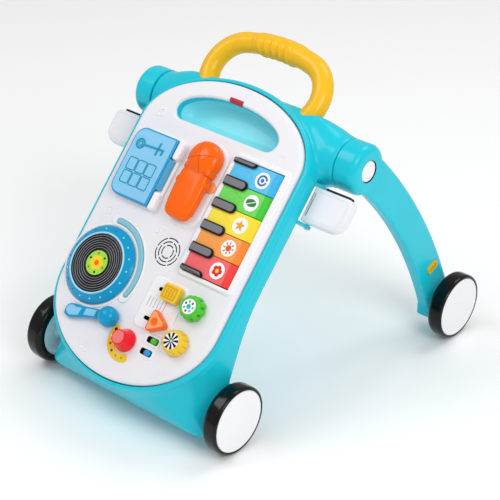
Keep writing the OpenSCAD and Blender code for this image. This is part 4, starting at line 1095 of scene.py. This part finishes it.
def build_leg(side, sign):
    f = side_frame(sign)
    rings = []
    n = 30
    for i, (y, z, t) in enumerate(leg_route(n)):
        s = i / n
        half = 22.3 + 2.2 * (1 - s) ** 3 + 1.4 * s * s
        inner = LEG_IN + 4.0 * (1 - s) * (1 - s)
        mid, thick = (inner + LEG_OUT) / 2, (LEG_OUT - inner) / 2
        line = section(32, half, thick, 0.24, 0.3)
        rings.append([at(f, y + a * cos(t), z + a * sin(t), mid + b) for a, b in line])
    barrel = [(31.2, 151.5), (32.5, 152.4), (32.5, 172.5)]
    barrel += [(32.5 - 9.5 * (1 - cos(t)), 172.5 + 9.5 * sin(t)) for t in quarter(8)]
    leg = raw(f"leg_{side}_shell", [turned((HINGE.y, HINGE.z), barrel, TURQUOISE, 72, f=f)])
    carve(leg, [loft(rings, TURQUOISE)], "UNION")
    y, z = REAR_AXLE.y, REAR_AXLE.z
    foot = rounded(y - 23.9, z - 21.5, y + 20, z + 6, (1, 6, 5, 12), 5)
    steps = [(2.4, LEG_IN + 0.02), (0.7, LEG_IN + 0.7), (0.02, LEG_IN + 2.4), (0.02, LEG_OUT - 2.4),
             (0.7, LEG_OUT - 0.72), (2.4, LEG_OUT - 0.03)]
    carve(leg, [tier(foot, steps, TURQUOISE, f=f)], "UNION")
    carve(leg, [turned((y, z), [(13, 175), (12, 190.2), (11, 191)], TURQUOISE, 40, f=f)], "UNION")
    # The well round the hub cap is lined with painted shade.
    carve(leg, [turned((HINGE.y, HINGE.z), [(14.4, LEG_OUT - 9), (14.4, LEG_OUT + 3)], RECESS_SHADE, 56, f=f)])
    lock = lock_frame(sign)
    pocket = rounded(-6.6, -10.6, 6.6, 10.6, 3.4)
    # The lock's pocket is lined with painted shade.
    carve(leg, [tier(pocket, [(0, -7), (0, 4)], RECESS_SHADE, f=lock)])
    settle(leg, f"leg_{side}", [f"leg_{side}"], 45)
    cap = [(4, -4.0), (13.3, -4.0), (13.5, -3.7), (13.5, -1.6), (13.1, -1.1), (12.2, -0.9), (4, -0.8),
           (0.5, -0.8)]
    button = turned((HINGE.y, HINGE.z), [(r, LEG_OUT + h) for r, h in cap], HUB, 56, f=f)
    name = f"hub_button_{side}"
    piece(f"{name}_cap", name, [button], [name])
    body = rounded(-6.0, -10.0, 6.0, 10.0, 3.0)
    parts = [plate(body, -3.8, 1.5, 1.2, AMBER, f=lock)]
    for a in (-5.2, 0, 5.2):
        parts += [plate(rounded(-3.4, a - 0.5, 3.4, a + 0.5, 0.4), 1.3, 1.5, 0.1, AMBER, f=lock)]
    name = f"wheel_lock_{side}"
    piece(f"{name}_slider", name, parts, [name])


def lock_frame(sign):
    """Frame on the leg's outer face where the lock sits: along the leg, across it, outwards."""
    t = leg_route(40)[-5][2]
    lo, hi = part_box(f"wheel_lock_{'right' if sign > 0 else 'left'}")
    centre = (lo + hi) / 2
    origin = Vector((sign * LEG_OUT * MM, centre.y, centre.z))
    along = Vector((0, -sin(t), cos(t)))
    return (origin, along, Vector((0, cos(t), sin(t))), X * sign)


def build_wheel(end, side, sign):
    axle = FRONT_AXLE if end == "front" else REAR_AXLE
    outer = OUTER_FACE[end]
    f = side_frame(sign)
    centre = (axle.y, axle.z)
    inner = outer - WHEEL_W
    tyre = [(34, inner + 0.4), (37, inner)]
    tyre += [(37 + 8 * sin(t), inner + 8.5 * (1 - cos(t))) for t in quarter(9)]
    tyre += [(45, inner + 14), (44.9, outer - 4), (44.5, outer - 1.8), (43.6, outer - 0.5), (42.6, outer),
             (41.2, outer), (40.7, outer - 0.5), (40.6, outer - 3), (34, outer - 3)]
    parts = [turned(centre, tyre, TYRE, 96, wrap=True, f=f)]
    disc = [(4, inner + 1.5), (9, inner + 0.6), (9.2, inner + 3), (12, inner + 4.5), (34.3, inner + 2.6)]
    disc += [(34.3, outer - 3.4), (40.3, outer - 3), (40.3, outer - 0.5), (39.9, outer - 0.1),
             (38.8, outer - 0.1), (37.6, outer - 0.5), (30, outer - 0.75), (0.5, outer - 0.6)]
    parts += [turned(centre, disc, HUB, 96, f=f)]
    line = band(*centre, 17.2, 17.9, 40, 190, 30)
    parts += [tier(line, [(0, outer - 1), (0, outer - 0.5), (0.15, outer - 0.35)], INK_WHITE, f=f)]
    nodes = [f"tyre_{end}_{side}", f"hub_{end}_{side}"]
    piece(f"wheel_{end}_{side}", f"{end}_wheel_{side}", parts, nodes)


# ---------- side feet ----------
def build_foot(side, sign):
    f = (PANEL[0], X * sign, SLOPE, OUT)
    u0, u1, v0, v1 = 137.2, 195.8, 150.2, 195.8
    line = rounded(u0, v0, u1, v1, (9, 1.5, 2.5, 19), 9)
    steps = [(3.0, -50.5), (0.9, -49.8), (0, -48.0), (0, -37), (0.7, -35.2), (2.0, -34.3), (4.4, -34.0),
             (4.9, -34.6), (5.4, -34.6), (5.8, -34.1), (7.4, -34.2)]
    name = f"foot_{side}"
    piece(f"side_{name}", name, [tier(line, steps, WHITE, f=f)], [name], 38)
    barrel = arc(*FOOT_HINGE, 4.9, 150, 390, 20) + [(148.5, -49.5), (146, -47), (137.4, -47)]
    rods = [bar(barrel, (v0 + 1.2, v1 - 1.2), WHITE, f)]
    rods += [bar(circle(*FOOT_HINGE, 2.9, 20), (144.2, 201.8), WHITE, f)]
    piece(f"side_{name}_pins", name, rods)
    across = [(149.5, -48.2), (150.5, -49), (185, -49), (187, -47.8), (187.6, -44), (187, -40), (185, -38.6),
              (150.5, -38.6), (149.5, -39.6)]
    rings = [[at(f, u, v, h) for u, h in across] for v in (v1 - 0.8, v1 + 2.4)]
    cu, ch = 168.5, -44
    rings.append([at(f, cu + (u - cu) * 0.97, v1 + 3.0, ch + (h - ch) * 0.9) for u, h in across])
    piece(f"side_{name}_stop", name, [loft(rings, PAD)], [f"foot_pad_{side}"])


# ---------- pieces that keep their CAD shape ----------
def dress(mat, *names):
    for name in names:
        data = frame["nodes"][name].data
        data.materials.clear()
        data.materials.append(mat)
        for polygon in data.polygons:
            polygon.material_index = 0


def dress_cad():
    dress(WHITE, "panel_back")
    dress(TURQUOISE, "battery_door")
    dress(CELL, "batteries")
    dress(BOARD, "circuit_board")
    dress(GREY, "speaker_driver")
    dress(PAD, "key_rest")
    dress(STEEL, "hinge_pins", "screws", "front_axle", "rear_axle_right", "rear_axle_left")


# ---------- stage, lights and camera ----------
LAMP_SIZE = 1.2


def build_stage():
    corners = [Vector((a, b, -0.0005)) for a, b in ((-6, -6), (6, -6), (6, 6), (-6, 6))]
    pale = plastic("floor_white", "FFFFFF", rough=0.6, vary=0.0, bump=0.0)
    floor = raw("floor", [(corners, [(0, 1, 2, 3)], pale)])
    world = bpy.data.worlds.new("studio")
    bpy.context.scene.world = world
    world.use_nodes = True
    world.node_tree.nodes["Background"].inputs[0].default_value = (1, 1, 1, 1)
    world.node_tree.nodes["Background"].inputs[1].default_value = 0.5
    # (place in metres, power in watts)
    for place, power in (((-1.0, -1.0, 2.2), 17), ((1.9, -0.7, 1.7), 24), ((0.4, 1.4, 2.2), 14)):
        lamp = bpy.data.lights.new("soft_box", "AREA")
        lamp.size = LAMP_SIZE
        lamp.energy = power
        obj = bpy.data.objects.new("soft_box", lamp)
        bpy.context.scene.collection.objects.link(obj)
        obj.location = place
        obj.rotation_euler = (Vector((0, 0, 0.2)) - Vector(place)).to_track_quat("-Z", "Y").to_euler()


def build_camera():
    place = Vector((1.2166, -1.3863, 1.2231))
    target = Vector((0.0067, 0.0203, 0.1406))
    data = bpy.data.cameras.new("camera")
    data.lens = 118.8
    data.sensor_width = 36
    data.clip_end = 50
    data.shift_x = 0.002
    data.shift_y = -0.006
    camera = bpy.data.objects.new("camera", data)
    bpy.context.scene.collection.objects.link(camera)
    turn = (target - place).to_track_quat("-Z", "Y").to_matrix().to_4x4()
    camera.matrix_world = Matrix.Translation(place) @ turn @ Matrix.Rotation(radians(0.27), 4, "Z")
    bpy.context.scene.camera = camera


bpy.context.scene.view_settings.view_transform = "Standard"
build_camera()
build_stage()
build_frame()
build_panel()
build_red_tag()
build_piano()
build_turntable()
build_tonearm()
build_flap()
build_microphone()
build_rods()
build_sliders()
build_knobs()
build_switches()
build_handle()
for side_name, side_sign in SIDES:
    build_leg(side_name, side_sign)
    build_foot(side_name, side_sign)
    for end_name in ("front", "rear"):
        build_wheel(end_name, side_name, side_sign)
dress_cad()
